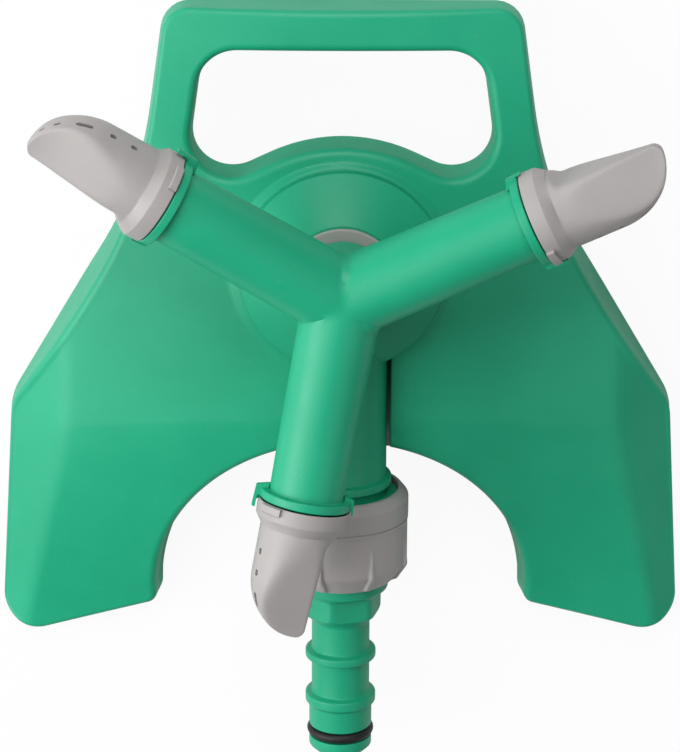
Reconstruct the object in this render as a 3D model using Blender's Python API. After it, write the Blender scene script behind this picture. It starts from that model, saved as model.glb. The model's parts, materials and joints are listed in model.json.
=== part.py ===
"""A three-armed rotary lawn sprinkler on a moulded base, built piece by piece.

Lengths are in millimetres and angles in degrees; MM turns lengths into Blender's metres. The pieces are laid
out about the hub axis: +Y towards the carry handle, the hose inlet towards -Y, +Z up, the ground at zero.
The part's own origin is the middle of its footprint, which lies ORIGIN_TO_HUB in front of the hub axis.
"""

import math

import bmesh
import bpy
import numpy as np
from mathutils import Matrix, Vector
from mathutils.geometry import delaunay_2d_cdt

MM = 0.001
GAP = 0.3  # room left between two pieces that touch
ORIGIN_TO_HUB = 30.75

# Base: plan outline of one half, corners as x, y and corner radius
HANDLE_CORNER = (40.0, 59.8, 7.0)
HANDLE_FOOT = (46.6, 15.9, 100.0)
SHOULDER = (78.9, -37.6, 8.0)
FOOT_OUTER = (83.4, -100.0, 8.5)
FOOT_INNER = (43.6, -88.9, 4.0)
ARCH_CENTRE_Y = -86.0
ARCH_HALF_WIDTH = 43.6
ARCH_RISE = 41.4

# Finger hole, the same way
HOLE_TOP = (31.3, 49.3, 9.0)
HOLE_LOBE = (36.3, 14.9, 9.0)
HOLE_HUMP = (0.0, 32.9, 37.3)

# Base: heights and walls
DECK_TOP = 24.8
DECK_CROWN_X = 260.0  # radius of the deck's crown across
DECK_CROWN_Y = 1000.0  # and along
DECK_CROWN_CENTRE_Y = -20.0
FOLD_Y = -35.6  # where the deck folds down into the legs
FOLD_BOW = 4.0
LEG_RUN = 61.0  # from the fold to the tips of the feet
LEG_CURVE = 1.25
FOOT_TOP = 6.0
RIDGE_X = 64.5  # where the deck meets the slanting side facets
RIDGE_Z = 17.0
FACET_FOOT_Z = 1.9  # the facet's height where it meets the outer wall of the foot
RIDGE_ROUND = 1.5
HANDLE_RIM_Z = 12.5  # the handle's lower rim is carried above the ground
RIM_RISE_START_Y = -10.0
RIM_RISE_RUN = 40.0
SHELL_WALL = 2.2
DECK_WALL = 2.4
WALL_DRAFT = 7.0
OPENING_DRAFT = 3.0
EDGE_ROUND = 1.8
SLOT_EDGE = 0.4  # edge of the keyhole round the inlet pipe
SEAT_RADIUS = 24.0  # raised flat on which the water body stands
SEAT_Z = 24.9

# Water body: cone boss, elbow and inlet pipe in one moulding
PIPE_Z = 21.0
PIPE_RADIUS = 10.5
PIPE_INSERT = 3.0  # the pipe starts this far from the hub axis
PIPE_SLOT_ROOM = 0.8  # room between the pipe and the base's keyhole
PIPE_COLLAR_RADIUS = 11.7
PIPE_COLLAR_RAMP = 0.4
ELBOW_RADIUS = 10.1
ELBOW_CHAMFER = 2.0
PIPE_COLLAR_Y = (-50.0, -52.2)
SPIGOT_RADIUS = 13.1
SPIGOT_Y = (-54.6, -64.6)
SPIGOT_CHAMFER = 0.8
WATERWAY_RADIUS = 8.0
SHAFT_RADIUS = 7.0  # of the waterway that rises to the rotor
CONE_BASE_RADIUS = 23.3
CONE_RIM = 1.2
CONE_TOP_RADIUS = 13.2
CONE_TOP_EDGE = 0.4
CONE_TOP_Z = 33.9
BEARING_BORE = 11.0
BEARING_FLOOR_Z = 26.3

# Screws that come up through the deck
SCREW_CIRCLE = 17.5
SCREW_ANGLES = (-20.0, 45.0, 135.0, 200.0)
SCREW_RADIUS = 1.5
SCREW_HEAD_RADIUS = 3.0
SCREW_HEAD_HEIGHT = 1.9
SCREW_REACH = 3.6  # length of thread inside the water body

# Bearing ring, stem and washer
RING_RADIUS = 12.7
RING_HEIGHT = 1.2
RING_SLEEVE_Z = 29.5
STEM_RADIUS = 8.0
STEM_FLANGE_RADIUS = 10.4
STEM_FLANGE_HEIGHT = 1.8
STEM_BORE = 5.0
STEM_INSERT = 7.0
STEM_SEAL_Z = 32.4
SEAL_SECTION = 0.75
WASHER_THICKNESS = 0.5

# Rotor
ARM_AZIMUTHS = (26.0, 148.0, 259.5)
ARM_RISE = 8.0
ARM_JUNCTION_Z = 46.5
ARM_ROOT_RADIUS = 8.9
ARM_END_RADIUS = 8.3
ARM_BORE = 6.4
POST_RADIUS = 10.2
POST_SHOULDER_Z = 46.0  # the post's dome rises from here
POST_TOP_Z = 54.9
POST_DOME_POWER = 3.0  # two is an ellipse, more is squarer
FLANGE_START = 44.4
FLANGE_THICKNESS = 2.0
FLANGE_RADIUS = 10.3
LUG_WIDTH = 2.6
LUG_INNER_RUN = 1.6
LUG_OVERHANG = 2.6
LUG_RADIUS = 12.0
SPIGOT_TIP_RADIUS = 6.9
SPIGOT_TIP_BORE = 4.2
SPIGOT_TIP_LENGTH = 5.8
SNAP_RADIUS = 7.7
SNAP_START = 4.0  # from the flange face
SNAP_LENGTH = 1.2
NOZZLE_SEAL_START = 2.1  # from the flange face to the seal's middle

# Nozzle caps
CAP_COLLAR_RADIUS = 10.6
CAP_COLLAR_LENGTH = 3.5
CAP_COLLAR_RAMP = 2.0
CAP_NECK_LENGTH = 1.2  # round neck between the collar's ramp and the shaped body
CAP_RADIUS = 8.9
CAP_TIP = 77.0  # from the arms' meeting point
CAP_TIP_OFFSET = -5.2  # the tip lies on the side away from the outlets
CAP_SPINE_ROUND = 13.6  # length over which the spine rounds down to the tip
CAP_KEEL_START = -6.3  # flat side away from the outlets, at CAP_KEEL_AT
CAP_KEEL_AT = 54.8
CAP_CHEEK_HEIGHT = 8.98  # flat cheeks above and below, at CAP_CHEEK_AT
CAP_CHEEK_AT = 55.8
CAP_CHEEK_FALL = 0.363
CAP_CHEEK_LEAN = 0.275
CAP_TIP_THICKNESS = 1.3  # half of it
CAP_BORE = 7.2
CAP_CHAMBER = 4.5
CAP_CHAMBER_END = 68.0
CAP_CHAMBER_TAPER = 0.6
OUTLET_RADIUS = 0.6
OUTLET_SPLAY = 26.0  # turn of the outlets' row from the spine towards the top
OUTLET_PLACES = (58.0, 63.0)  # outlets that leave square to the cap, from the arms' meeting point
OUTLET_FAN_AT = 62.5  # the rest fan out from this point of the chamber
OUTLET_FANS = (42.0, 70.0, 86.0)
OUTLET_SLOT_LENGTH = 3.4  # the first of them is a slot
TAB_START = 30.0  # the stop tab's sweep from the spine over the top
TAB_SWEEP = 30.0
TAB_HEIGHT = 0.9
TAB_LENGTH = 1.7

# Hose nut
NUT_RADIUS = 15.8
NUT_Y = (-53.3, -75.6)
NUT_SHOULDER = 2.2
NUT_SEAM_Y = -60.3
NUT_SEAM_DEPTH = 0.4
NUT_CHAMFER = 4.6
NUT_CHAMFER_DEPTH = 3.2
NUT_LIP_LENGTH = 5.4
NUT_RIBS = 8
NUT_RIB_PHASE = 27.0
NUT_RIB_WIDTH = 3.2
NUT_RIB_HEIGHT = 0.9

# Inlet nipple
NIPPLE_FLANGE_RADIUS = 12.9
NIPPLE_FLANGE_LENGTH = 2.5
NIPPLE_BODY_RADIUS = 11.2
NIPPLE_BODY_END_Y = -79.5
NIPPLE_HEX_ACROSS_FLATS = 17.6
NIPPLE_HEX_END_Y = -86.3
NIPPLE_NECK_RADIUS = 6.9
NIPPLE_COLLAR_RADIUS = 8.4
NIPPLE_COLLAR_1_Y = (-94.4, -97.2)
NIPPLE_COLLAR_2_Y = (-105.6, -108.8)
NIPPLE_TIP_RADIUS = 7.5
NIPPLE_TAPER_END_Y = -112.2
NIPPLE_SEAL_Y = -115.9
NIPPLE_SEAL_RADIUS = 8.0
NIPPLE_SEAL_SECTION = 1.15
NIPPLE_END_Y = -121.3
NIPPLE_END_CHAMFER = 1.6
NIPPLE_BORE = 4.0
INLET_WASHER_THICKNESS = 2.3

ROUND = 28  # sides of a large round piece
SMALL_ROUND = 20
OUTLET_ROUND = 6
SEAL_SIDES = 6
SHARP_ANGLE = 35.0
BRANCHED = "MANIFOLD"  # solver for the two branched pieces, where the exact one leaves edges open
LONGEST_SIDE = 8.0  # of the base's outlines
TOP_SPACING = 8.4  # of the points over the deck
UNDERSIDE_SPACING = 14.0


def clear_scene():
    """Remove whatever the open file holds."""
    for old in list(bpy.data.objects):
        bpy.data.objects.remove(old, do_unlink=True)


def plastic(name, colour, roughness, metallic=0.0):
    """A Principled material with one linear colour."""
    material = bpy.data.materials.new(name)
    material.use_nodes = True
    shader = material.node_tree.nodes["Principled BSDF"]
    shader.inputs["Base Color"].default_value = (*colour, 1.0)
    shader.inputs["Roughness"].default_value = roughness
    shader.inputs["Metallic"].default_value = metallic
    return material


def frame_empty(name, place, parent=None):
    """An empty that carries pieces; its place is in millimetres."""
    empty = bpy.data.objects.new(name, None)
    empty.location = Vector(place) * MM
    empty.parent = parent
    bpy.context.collection.objects.link(empty)
    return empty


def solid(name, points, faces, material, parent=None, frame=None):
    """One object from points in millimetres, with its faces turned outwards and its round parts shaded smooth."""
    mesh = bpy.data.meshes.new(name)
    mesh.from_pydata((np.asarray(points) * MM).tolist(), [], faces)
    shape = bmesh.new()
    shape.from_mesh(mesh)
    bmesh.ops.recalc_face_normals(shape, faces=shape.faces)
    shape.to_mesh(mesh)
    shape.free()
    mesh.shade_smooth()
    mesh.set_sharp_from_angle(angle=math.radians(SHARP_ANGLE))
    mesh.materials.append(material)
    piece = bpy.data.objects.new(name, mesh)
    if frame is not None:
        placed = frame.copy()
        placed.translation = placed.translation * MM
        piece.matrix_basis = placed
    piece.parent = parent
    bpy.context.collection.objects.link(piece)
    return piece


def boolean(piece, tool, operation, solver="EXACT"):
    """Let another shape add to or cut from a piece; the shape itself is only a guide."""
    tool.hide_render = True
    tool.display_type = "WIRE"
    modifier = piece.modifiers.new(f"{operation.lower()}_{tool.name}", "BOOLEAN")
    modifier.operation = operation
    modifier.solver = solver
    modifier.object = tool


def skin(rings, wrap=False):
    """Points and faces of a skin over rings of points; a ring of one point is a pole."""
    points = np.concatenate(rings)
    starts = np.cumsum([0] + [len(ring) for ring in rings])
    pairs = list(zip(range(len(rings) - 1), range(1, len(rings))))
    if wrap:
        pairs.append((len(rings) - 1, 0))
    faces = []
    for a, b in pairs:
        count_a = len(rings[a])
        count_b = len(rings[b])
        for i in range(max(count_a, count_b)):
            j = (i + 1) % max(count_a, count_b)
            corner = [starts[a] + i % count_a, starts[a] + j % count_a, starts[b] + j % count_b, starts[b] + i % count_b]
            faces.append([int(c) for c in dict.fromkeys(corner)])
    return points, faces


def ring(radius, height, sides=ROUND):
    """A circle of points about Z, or its centre where the radius is nought."""
    if radius == 0:
        return np.array([[0.0, 0.0, height]])
    angle = np.linspace(0.0, 2.0 * np.pi, sides, endpoint=False)
    return np.stack([radius * np.cos(angle), radius * np.sin(angle), np.full(sides, float(height))], axis=1)


def turned(profile, sides=ROUND, wrap=False):
    """Skin of a profile of radius and height pairs, turned about Z."""
    return skin([ring(radius, height, sides) for radius, height in profile], wrap)


def seal_profile(radius, section, height):
    """A round section whose middle is at a radius and a height."""
    turn = 2.0 * math.pi / SEAL_SIDES
    return [
        (radius + section * math.cos(i * turn), height + section * math.sin(i * turn)) for i in range(SEAL_SIDES)
    ]


def pipe_frame():
    """Local Z runs out along the inlet, local Y is up."""
    axes = Matrix(((1.0, 0.0, 0.0), (0.0, 0.0, 1.0), (0.0, -1.0, 0.0))).transposed()
    return Matrix.Translation((0.0, 0.0, PIPE_Z)) @ axes.to_4x4()


def arm_frame(index):
    """Local Z runs out along an arm from the arms' meeting point, X is up, Y the side that the jets leave."""
    azimuth = math.radians(ARM_AZIMUTHS[index])
    rise = math.radians(ARM_RISE)
    along = Vector((math.cos(azimuth) * math.cos(rise), math.sin(azimuth) * math.cos(rise), math.sin(rise)))
    side = Vector((math.sin(azimuth), -math.cos(azimuth), 0.0))
    axes = Matrix((side.cross(along), side, along)).transposed()
    return Matrix.Translation((0.0, 0.0, ARM_JUNCTION_Z)) @ axes.to_4x4()


def rounded(corners):
    """A closed outline through corners of x, y and radius, each radius drawn as an arc."""
    places = np.array([corner[:2] for corner in corners], dtype=float)
    outline = []
    for i, corner in enumerate(corners):
        here = places[i]
        radius = corner[2]
        if radius == 0:
            outline.append(here)
            continue
        back = places[i - 1] - here
        on = places[(i + 1) % len(places)] - here
        back = back / np.linalg.norm(back)
        on = on / np.linalg.norm(on)
        half = math.acos(float(np.clip(back @ on, -1.0, 1.0))) / 2.0
        centre = here + (back + on) / np.linalg.norm(back + on) * radius / math.sin(half)
        start = here + back * radius / math.tan(half) - centre
        turn = math.pi - 2.0 * half
        turn = math.copysign(turn, back[1] * on[0] - back[0] * on[1])
        steps = max(4, round(abs(turn) * radius / 5.0), round(math.degrees(abs(turn)) / 15.0))
        for k in range(steps + 1):
            angle = turn * k / steps
            c, s = math.cos(angle), math.sin(angle)
            outline.append(centre + np.array([c * start[0] - s * start[1], s * start[0] + c * start[1]]))
    return np.array(outline)


def divided(outline, longest):
    """The same outline with its long sides cut into equal lengths."""
    result = []
    for here, there in zip(outline, np.roll(outline, -1, axis=0)):
        parts = max(1, math.ceil(float(np.linalg.norm(there - here)) / longest))
        result.extend(here + (there - here) * k / parts for k in range(parts))
    return np.array(result)


def inward(outline):
    """Vectors that move a counter-clockwise outline's points inwards by one unit of wall."""
    side = np.roll(outline, -1, axis=0) - outline
    normal = np.stack([-side[:, 1], side[:, 0]], axis=1) / np.linalg.norm(side, axis=1)[:, None]
    before = np.roll(normal, 1, axis=0)
    return (normal + before) / (1.0 + np.sum(normal * before, axis=1))[:, None]


def crown_height(x, y):
    """Height of the deck's double crown."""
    return DECK_TOP - x**2 / (2.0 * DECK_CROWN_X) - (y - DECK_CROWN_CENTRE_Y) ** 2 / (2.0 * DECK_CROWN_Y)


def fold_line(x):
    """Y of the line where the deck folds down into the legs."""
    return FOLD_Y - FOLD_BOW * (x / RIDGE_X) ** 2


def facet_height(x):
    """Height of the slanting side facet, which falls from the ridge to the outer wall of the foot."""
    fall = (RIDGE_Z - FACET_FOOT_Z) / (FOOT_OUTER[0] - RIDGE_X)
    return RIDGE_Z - fall * (x - RIDGE_X)


def leg_height(x, y):
    """Height of a leg's top, which runs from the fold down to the tips of the feet."""
    fold = fold_line(x)
    share = np.clip((fold - y) / LEG_RUN, 0.0, None) ** LEG_CURVE
    top = crown_height(x, fold)
    return top + (FOOT_TOP - top) * share


def base_height(x, y):
    """Height of the base's top: the lower of the deck, legs and side facets, with the water body's seat on it."""
    x = np.abs(x)
    top = np.where(y < fold_line(x), leg_height(x, y), crown_height(x, y))
    facet = facet_height(x)
    overlap = np.clip(0.5 + (facet - top) / (4.0 * RIDGE_ROUND), 0.0, 1.0)
    top = facet + (top - facet) * overlap - RIDGE_ROUND * overlap * (1.0 - overlap) * 2.0
    seat = SEAT_Z - np.clip(np.hypot(x, y) - SEAT_RADIUS, 0.0, None)
    return np.maximum(top, seat)


def rim_height(y):
    """Height of the base's lower rim, which leaves the ground towards the handle."""
    share = np.clip((y - RIM_RISE_START_Y) / RIM_RISE_RUN, 0.0, 1.0)
    return HANDLE_RIM_Z * share**2 * (3.0 - 2.0 * share)


def slot_half_width():
    """Half the width of the keyhole that takes the inlet pipe."""
    return PIPE_RADIUS + PIPE_SLOT_ROOM


def arch_y(x):
    """Y of the arch between the legs."""
    return ARCH_CENTRE_Y + ARCH_RISE * math.sqrt(1.0 - (x / ARCH_HALF_WIDTH) ** 2)


def base_outline():
    """The base's outer outline, counter-clockwise, with the arch and the pipe's keyhole in it."""
    slot = slot_half_width()
    half = [HANDLE_CORNER, HANDLE_FOOT, SHOULDER, FOOT_OUTER, FOOT_INNER]
    for angle in np.radians(np.arange(5.0, 67.0, 6.0)):
        x = ARCH_HALF_WIDTH * math.cos(angle)
        half.append((x, arch_y(x), 0.0))
    mouth = arch_y(slot)
    half.append((slot, mouth, 0.0))
    half.append((slot, mouth + 5.0, 0.0))
    for angle in np.radians(np.arange(0.0, 85.0, 15.0)):
        half.append((slot * math.cos(angle), slot * math.sin(angle), 0.0))
    left = [(-x, y, radius) for x, y, radius in reversed(half)]
    clockwise = rounded(half + [(0.0, slot, 0.0)] + left)
    return divided(clockwise[::-1], LONGEST_SIDE)


def hole_outline():
    """The finger hole's outline, clockwise, so that the material lies on the same hand as in the outer outline."""
    x_top, y_top, r_top = HOLE_TOP
    x_lobe, y_lobe, r_lobe = HOLE_LOBE
    corners = [HOLE_HUMP, (-x_lobe, y_lobe, r_lobe), (-x_top, y_top, r_top), HOLE_TOP, HOLE_LOBE]
    return divided(rounded(corners), LONGEST_SIDE)


def screw_places():
    """Plan places of the screws about the hub axis."""
    angles = np.radians(SCREW_ANGLES)
    return np.stack([SCREW_CIRCLE * np.cos(angles), SCREW_CIRCLE * np.sin(angles)], axis=1)


def screw_hole_outline(place):
    """A screw hole in the deck, clockwise."""
    angle = -np.linspace(0.0, 2.0 * np.pi, 10, endpoint=False)
    radius = SCREW_RADIUS + GAP
    return place + radius * np.stack([np.cos(angle), np.sin(angle)], axis=1)


def wall_rows(outline, draft):
    """Rings up the outside of a wall, over its rounded edge, and up its inside, for one outline of the base."""
    move = inward(outline)
    reach = slot_half_width() + 0.05
    slot = (np.abs(outline[:, 0]) < reach) & (outline[:, 1] > arch_y(0.0) + 3.0) & (outline[:, 1] < reach)
    lean = np.where(slot, 0.0, math.tan(math.radians(draft)))
    rim = rim_height(outline[:, 1])
    top = base_height(*outline.T)
    rim = np.where(slot, top - DECK_WALL, rim)
    edge = np.where(slot, SLOT_EDGE, np.minimum(EDGE_ROUND, 0.4 * (top - rim)))
    inset = lean * (top - rim)

    def row(distance, height):
        plan = outline + move * distance[:, None]
        return np.column_stack([plan, height])

    end = outline + move * (inset + edge)[:, None]
    top = base_height(*end.T)
    outside = [row(np.zeros(len(outline)), rim), row(lean * (top - rim - edge), top - edge)]
    outside.append(row(inset + 0.29 * edge, top - 0.29 * edge))
    outside.append(row(inset + edge, top))
    thick = np.where(slot, 2.0 * SLOT_EDGE, SHELL_WALL)
    inner = outline + move * (inset + thick)[:, None]
    inside = [row(inset + thick, base_height(*inner.T) - DECK_WALL), row(thick, rim)]
    return outside, inside


def ridge_line(y):
    """X of the ridge between the deck or leg and the slanting side facet."""
    low = np.zeros_like(y)
    high = np.full_like(y, FOOT_OUTER[0])
    for _ in range(24):
        x = (low + high) / 2.0
        top = np.where(y < fold_line(x), leg_height(x, y), crown_height(x, y))
        above = facet_height(x) > top
        low = np.where(above, x, low)
        high = np.where(above, high, x)
    return (low + high) / 2.0


def deck_points(loops, spacing, creases):
    """Points of the deck between its edges: an even grid, and rows along the ridges and the fold."""
    rows = []
    if creases:
        y = np.arange(-92.0, -16.0, 5.5)
        fold_x = np.linspace(0.31, 0.96, 8) * RIDGE_X
        for step in (-1.4, 0.0, 1.4):
            for hand in (-1.0, 1.0):
                rows.append(np.stack([hand * (ridge_line(y) + step), y], axis=1))
                rows.append(np.stack([hand * fold_x, fold_line(fold_x) + step], axis=1))
    seat = np.linspace(0.0, 2.0 * np.pi, ROUND, endpoint=False)
    for radius in (SEAT_RADIUS, SEAT_RADIUS + 1.2):
        rows.append(radius * np.stack([np.cos(seat), np.sin(seat)], axis=1))
    marks = np.concatenate(rows)
    x, y = np.meshgrid(np.arange(-11.5, 12.0) * spacing, np.arange(-100.0, 62.0, spacing * 0.9))
    x[1::2] += spacing / 2.0
    grid = np.stack([x.ravel(), y.ravel()], axis=1)
    far = np.min(np.linalg.norm(grid[:, None] - marks[None], axis=2), axis=1) > 0.45 * spacing
    inside_seat = np.hypot(*grid.T) < SEAT_RADIUS + 2.0
    points = np.concatenate([marks, grid[far & ~inside_seat]])
    edges = np.concatenate([divided(loop, 2.0) for loop in loops])
    clear = np.min(np.linalg.norm(points[:, None] - edges[None], axis=2), axis=1) > 1.3
    return points[clear & winding(points, loops)]


def winding(points, loops):
    """Which points lie inside the outer loop and outside the holes, by counting edges crossed."""
    inside = np.zeros(len(points), dtype=bool)
    for loop in loops:
        for (x1, y1), (x2, y2) in zip(loop, np.roll(loop, -1, axis=0)):
            span = (y1 > points[:, 1]) != (y2 > points[:, 1])
            rise = y2 - y1 if y2 != y1 else 1.0
            cross = x1 + (points[:, 1] - y1) * (x2 - x1) / rise
            inside ^= span & (points[:, 0] < cross)
    return inside


def deck_faces(loops, spacing, creases):
    """Triangles over the plan between loops. The loops' own points come first, then the deck's points."""
    inner = deck_points(loops, spacing, creases)
    points = np.concatenate([*loops, inner])
    edges = []
    start = 0
    for loop in loops:
        edges.extend((start + i, start + (i + 1) % len(loop)) for i in range(len(loop)))
        start += len(loop)
    coords = [Vector(point) for point in points]
    _, _, faces, origin, _, _ = delaunay_2d_cdt(coords, edges, [], 0, 1e-6, True)
    triangles = np.array([[origin[corner][0] for corner in face] for face in faces])
    middles = points[triangles].mean(axis=1)
    return inner, triangles[winding(middles, loops)]


def base_shell(material, parent):
    """The base: drafted walls round the outline and the finger hole, joined by the deck's top and underside."""
    loops = [wall_rows(base_outline(), WALL_DRAFT), wall_rows(hole_outline(), OPENING_DRAFT)]
    for place in screw_places():
        outline = screw_hole_outline(place)
        top = base_height(*outline.T)
        upper = np.column_stack([outline, top])
        lower = np.column_stack([outline, top - DECK_WALL])
        loops.append(([upper], [lower]))
    points = []
    faces = []
    count = 0
    upper_rows = []
    lower_rows = []
    for outside, inside in loops:
        rows = outside + inside
        starts = [count + k * len(rows[0]) for k in range(len(rows))]
        links = [(k, k + 1) for k in range(len(outside) - 1)]
        links += [(len(outside) + k, len(outside) + k + 1) for k in range(len(inside) - 1)]
        links.append((len(rows) - 1, 0) if len(outside) > 1 else (0, 1))
        for a, b in links:
            for i in range(len(rows[0])):
                j = (i + 1) % len(rows[0])
                faces.append([starts[a] + i, starts[a] + j, starts[b] + j, starts[b] + i])
        upper_rows.append((starts[len(outside) - 1], outside[-1]))
        lower_rows.append((starts[len(outside)], inside[0]))
        points.extend(rows)
        count += len(rows) * len(rows[0])
    for rows, drop, spacing, creases in (
        (upper_rows, 0.0, TOP_SPACING, True),
        (lower_rows, DECK_WALL, UNDERSIDE_SPACING, False),
    ):
        inner, triangles = deck_faces([row[:, :2] for _, row in rows], spacing, creases)
        index = np.concatenate([start + np.arange(len(row)) for start, row in rows])
        index = np.concatenate([index, count + np.arange(len(inner))])
        faces.extend([[int(index[corner]) for corner in triangle] for triangle in triangles])
        points.append(np.column_stack([inner, base_height(*inner.T) - drop]))
        count += len(inner)
    return solid("base_shell", np.concatenate(points), faces, material, parent)


def water_body(material, parent):
    """Cone boss over an elbow, with the inlet pipe, its collar and the threaded spigot, hollow all the way."""
    seat = SEAT_Z + GAP
    bottom = PIPE_Z - ELBOW_RADIUS
    cone = [
        (0.0, bottom),
        (ELBOW_RADIUS - ELBOW_CHAMFER, bottom),
        (ELBOW_RADIUS, bottom + ELBOW_CHAMFER),
        (ELBOW_RADIUS, seat),
        (CONE_BASE_RADIUS, seat),
        (CONE_BASE_RADIUS, seat + CONE_RIM),
        (CONE_TOP_RADIUS + CONE_TOP_EDGE, CONE_TOP_Z - CONE_TOP_EDGE),
        (CONE_TOP_RADIUS, CONE_TOP_Z),
        (0.0, CONE_TOP_Z),
    ]
    body = solid("water_body", *turned(cone), material, parent)
    pipe = [
        (0.0, PIPE_INSERT),
        (PIPE_RADIUS, PIPE_INSERT),
        (PIPE_RADIUS, -PIPE_COLLAR_Y[0]),
        (PIPE_COLLAR_RADIUS, -PIPE_COLLAR_Y[0] + PIPE_COLLAR_RAMP),
        (PIPE_COLLAR_RADIUS, -PIPE_COLLAR_Y[1]),
        (PIPE_RADIUS, -PIPE_COLLAR_Y[1] + PIPE_COLLAR_RAMP / 2.0),
        (PIPE_RADIUS, -SPIGOT_Y[0]),
        (SPIGOT_RADIUS, -SPIGOT_Y[0]),
        (SPIGOT_RADIUS, -SPIGOT_Y[1] - SPIGOT_CHAMFER),
        (SPIGOT_RADIUS - SPIGOT_CHAMFER, -SPIGOT_Y[1]),
        (0.0, -SPIGOT_Y[1]),
    ]
    boolean(body, solid("pipe_guide", *turned(pipe), material, parent, pipe_frame()), "UNION", BRANCHED)
    back = -WATERWAY_RADIUS - GAP
    open_end = GAP - SPIGOT_Y[1]
    bore = [(0.0, back), (WATERWAY_RADIUS, back), (WATERWAY_RADIUS, open_end), (0.0, open_end)]
    cutter = solid("waterway_guide", *turned(bore), material, parent, pipe_frame())
    boolean(body, cutter, "DIFFERENCE", BRANCHED)
    over_top = CONE_TOP_Z + GAP
    shaft = [(0.0, PIPE_Z), (SHAFT_RADIUS, PIPE_Z), (SHAFT_RADIUS, BEARING_FLOOR_Z), (BEARING_BORE, BEARING_FLOOR_Z)]
    shaft += [(BEARING_BORE, over_top), (0.0, over_top)]
    boolean(body, solid("shaft_guide", *turned(shaft), material, parent), "DIFFERENCE", BRANCHED)
    hole_radius = SCREW_RADIUS + GAP
    hole_top = seat + SCREW_REACH + GAP
    hole = [(0.0, seat - 1.0), (hole_radius, seat - 1.0), (hole_radius, hole_top), (0.0, hole_top)]
    for number, (x, y) in enumerate(screw_places(), 1):
        place = Matrix.Translation((x, y, 0.0))
        cutter = solid(f"screw_hole_guide_{number}", *turned(hole, 10), material, parent, place)
        boolean(body, cutter, "DIFFERENCE", BRANCHED)
    return body


def body_screws(material, parent):
    """Pan-head screws up through the deck into the water body."""
    seat = SEAT_Z - DECK_WALL - GAP
    profile = [
        (0.0, seat - SCREW_HEAD_HEIGHT),
        (SCREW_HEAD_RADIUS - 0.8, seat - SCREW_HEAD_HEIGHT),
        (SCREW_HEAD_RADIUS, seat - SCREW_HEAD_HEIGHT + 0.8),
        (SCREW_HEAD_RADIUS, seat),
        (SCREW_RADIUS, seat),
        (SCREW_RADIUS, SEAT_Z + GAP + SCREW_REACH - 0.8),
        (0.5, SEAT_Z + GAP + SCREW_REACH),
        (0.0, SEAT_Z + GAP + SCREW_REACH),
    ]
    for number, (x, y) in enumerate(screw_places(), 1):
        solid(f"body_screw_{number}", *turned(profile, 12), material, parent, Matrix.Translation((x, y, 0.0)))


def ring_top():
    """Height of the bearing ring's top."""
    return CONE_TOP_Z + GAP + RING_HEIGHT


def stem_flange_top():
    """Height of the top of the stem's flange, which the washer and the ring hold down."""
    return RING_SLEEVE_Z - 2.0 * GAP - WASHER_THICKNESS


def bearing_ring(material, parent):
    """Flanged bush in the top of the cone."""
    under = CONE_TOP_Z + GAP
    sleeve = BEARING_BORE - GAP
    bore = STEM_RADIUS + GAP
    profile = [
        (RING_RADIUS, under),
        (RING_RADIUS, ring_top() - 0.4),
        (RING_RADIUS - 0.4, ring_top()),
        (bore + 0.4, ring_top()),
        (bore, ring_top() - 0.4),
        (bore, RING_SLEEVE_Z),
        (sleeve, RING_SLEEVE_Z),
        (sleeve, under),
    ]
    solid("bearing_ring", *turned(profile, wrap=True), material, parent)


def rotor_stem(material, parent):
    """Hollow journal: a flange under the bearing ring, a seal groove and an upper end that sits in the rotor."""
    depth = STEM_RADIUS - 2.0 * SEAL_SECTION - GAP
    half = SEAL_SECTION + GAP
    flange_top = stem_flange_top()
    top = ring_top() + STEM_INSERT
    profile = [
        (STEM_FLANGE_RADIUS, flange_top - STEM_FLANGE_HEIGHT),
        (STEM_FLANGE_RADIUS, flange_top),
        (STEM_RADIUS, flange_top),
        (STEM_RADIUS, STEM_SEAL_Z - half),
        (depth, STEM_SEAL_Z - half),
        (depth, STEM_SEAL_Z + half),
        (STEM_RADIUS, STEM_SEAL_Z + half),
        (STEM_RADIUS, top),
        (STEM_BORE, top),
        (STEM_BORE, flange_top - STEM_FLANGE_HEIGHT),
    ]
    solid("rotor_stem", *turned(profile, wrap=True), material, parent)


def stem_seals(rubber, nylon, parent):
    """The ring seal in the stem's groove and the thrust washer on its flange."""
    middle = STEM_RADIUS - SEAL_SECTION
    solid("stem_o_ring", *turned(seal_profile(middle, SEAL_SECTION, STEM_SEAL_Z), wrap=True), rubber, parent)
    low = stem_flange_top() + GAP
    inner = STEM_RADIUS + GAP
    washer = [
        (inner, low),
        (STEM_FLANGE_RADIUS, low),
        (STEM_FLANGE_RADIUS, low + WASHER_THICKNESS),
        (inner, low + WASHER_THICKNESS),
    ]
    solid("thrust_washer", *turned(washer, wrap=True), nylon, parent)


def arm_profile():
    """An arm's outside: taper, end flange and the stepped spigot that a nozzle cap turns on."""
    face = FLANGE_START + FLANGE_THICKNESS
    seal = face + NOZZLE_SEAL_START
    half = SEAL_SECTION + GAP
    depth = SPIGOT_TIP_RADIUS - 2.0 * SEAL_SECTION - GAP
    snap = face + SNAP_START
    return [
        (0.0, 0.0),
        (ARM_ROOT_RADIUS, 0.0),
        (ARM_END_RADIUS, FLANGE_START),
        (FLANGE_RADIUS, FLANGE_START),
        (FLANGE_RADIUS, face),
        (SPIGOT_TIP_RADIUS, face),
        (SPIGOT_TIP_RADIUS, seal - half),
        (depth + 0.6, seal - half),
        (depth + 0.6, seal + half),
        (SPIGOT_TIP_RADIUS, seal + half),
        (SPIGOT_TIP_RADIUS, snap),
        (SNAP_RADIUS, snap),
        (SPIGOT_TIP_RADIUS, snap + SNAP_LENGTH),
        (SPIGOT_TIP_RADIUS - 0.5, face + SPIGOT_TIP_LENGTH),
        (0.0, face + SPIGOT_TIP_LENGTH),
    ]


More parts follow.
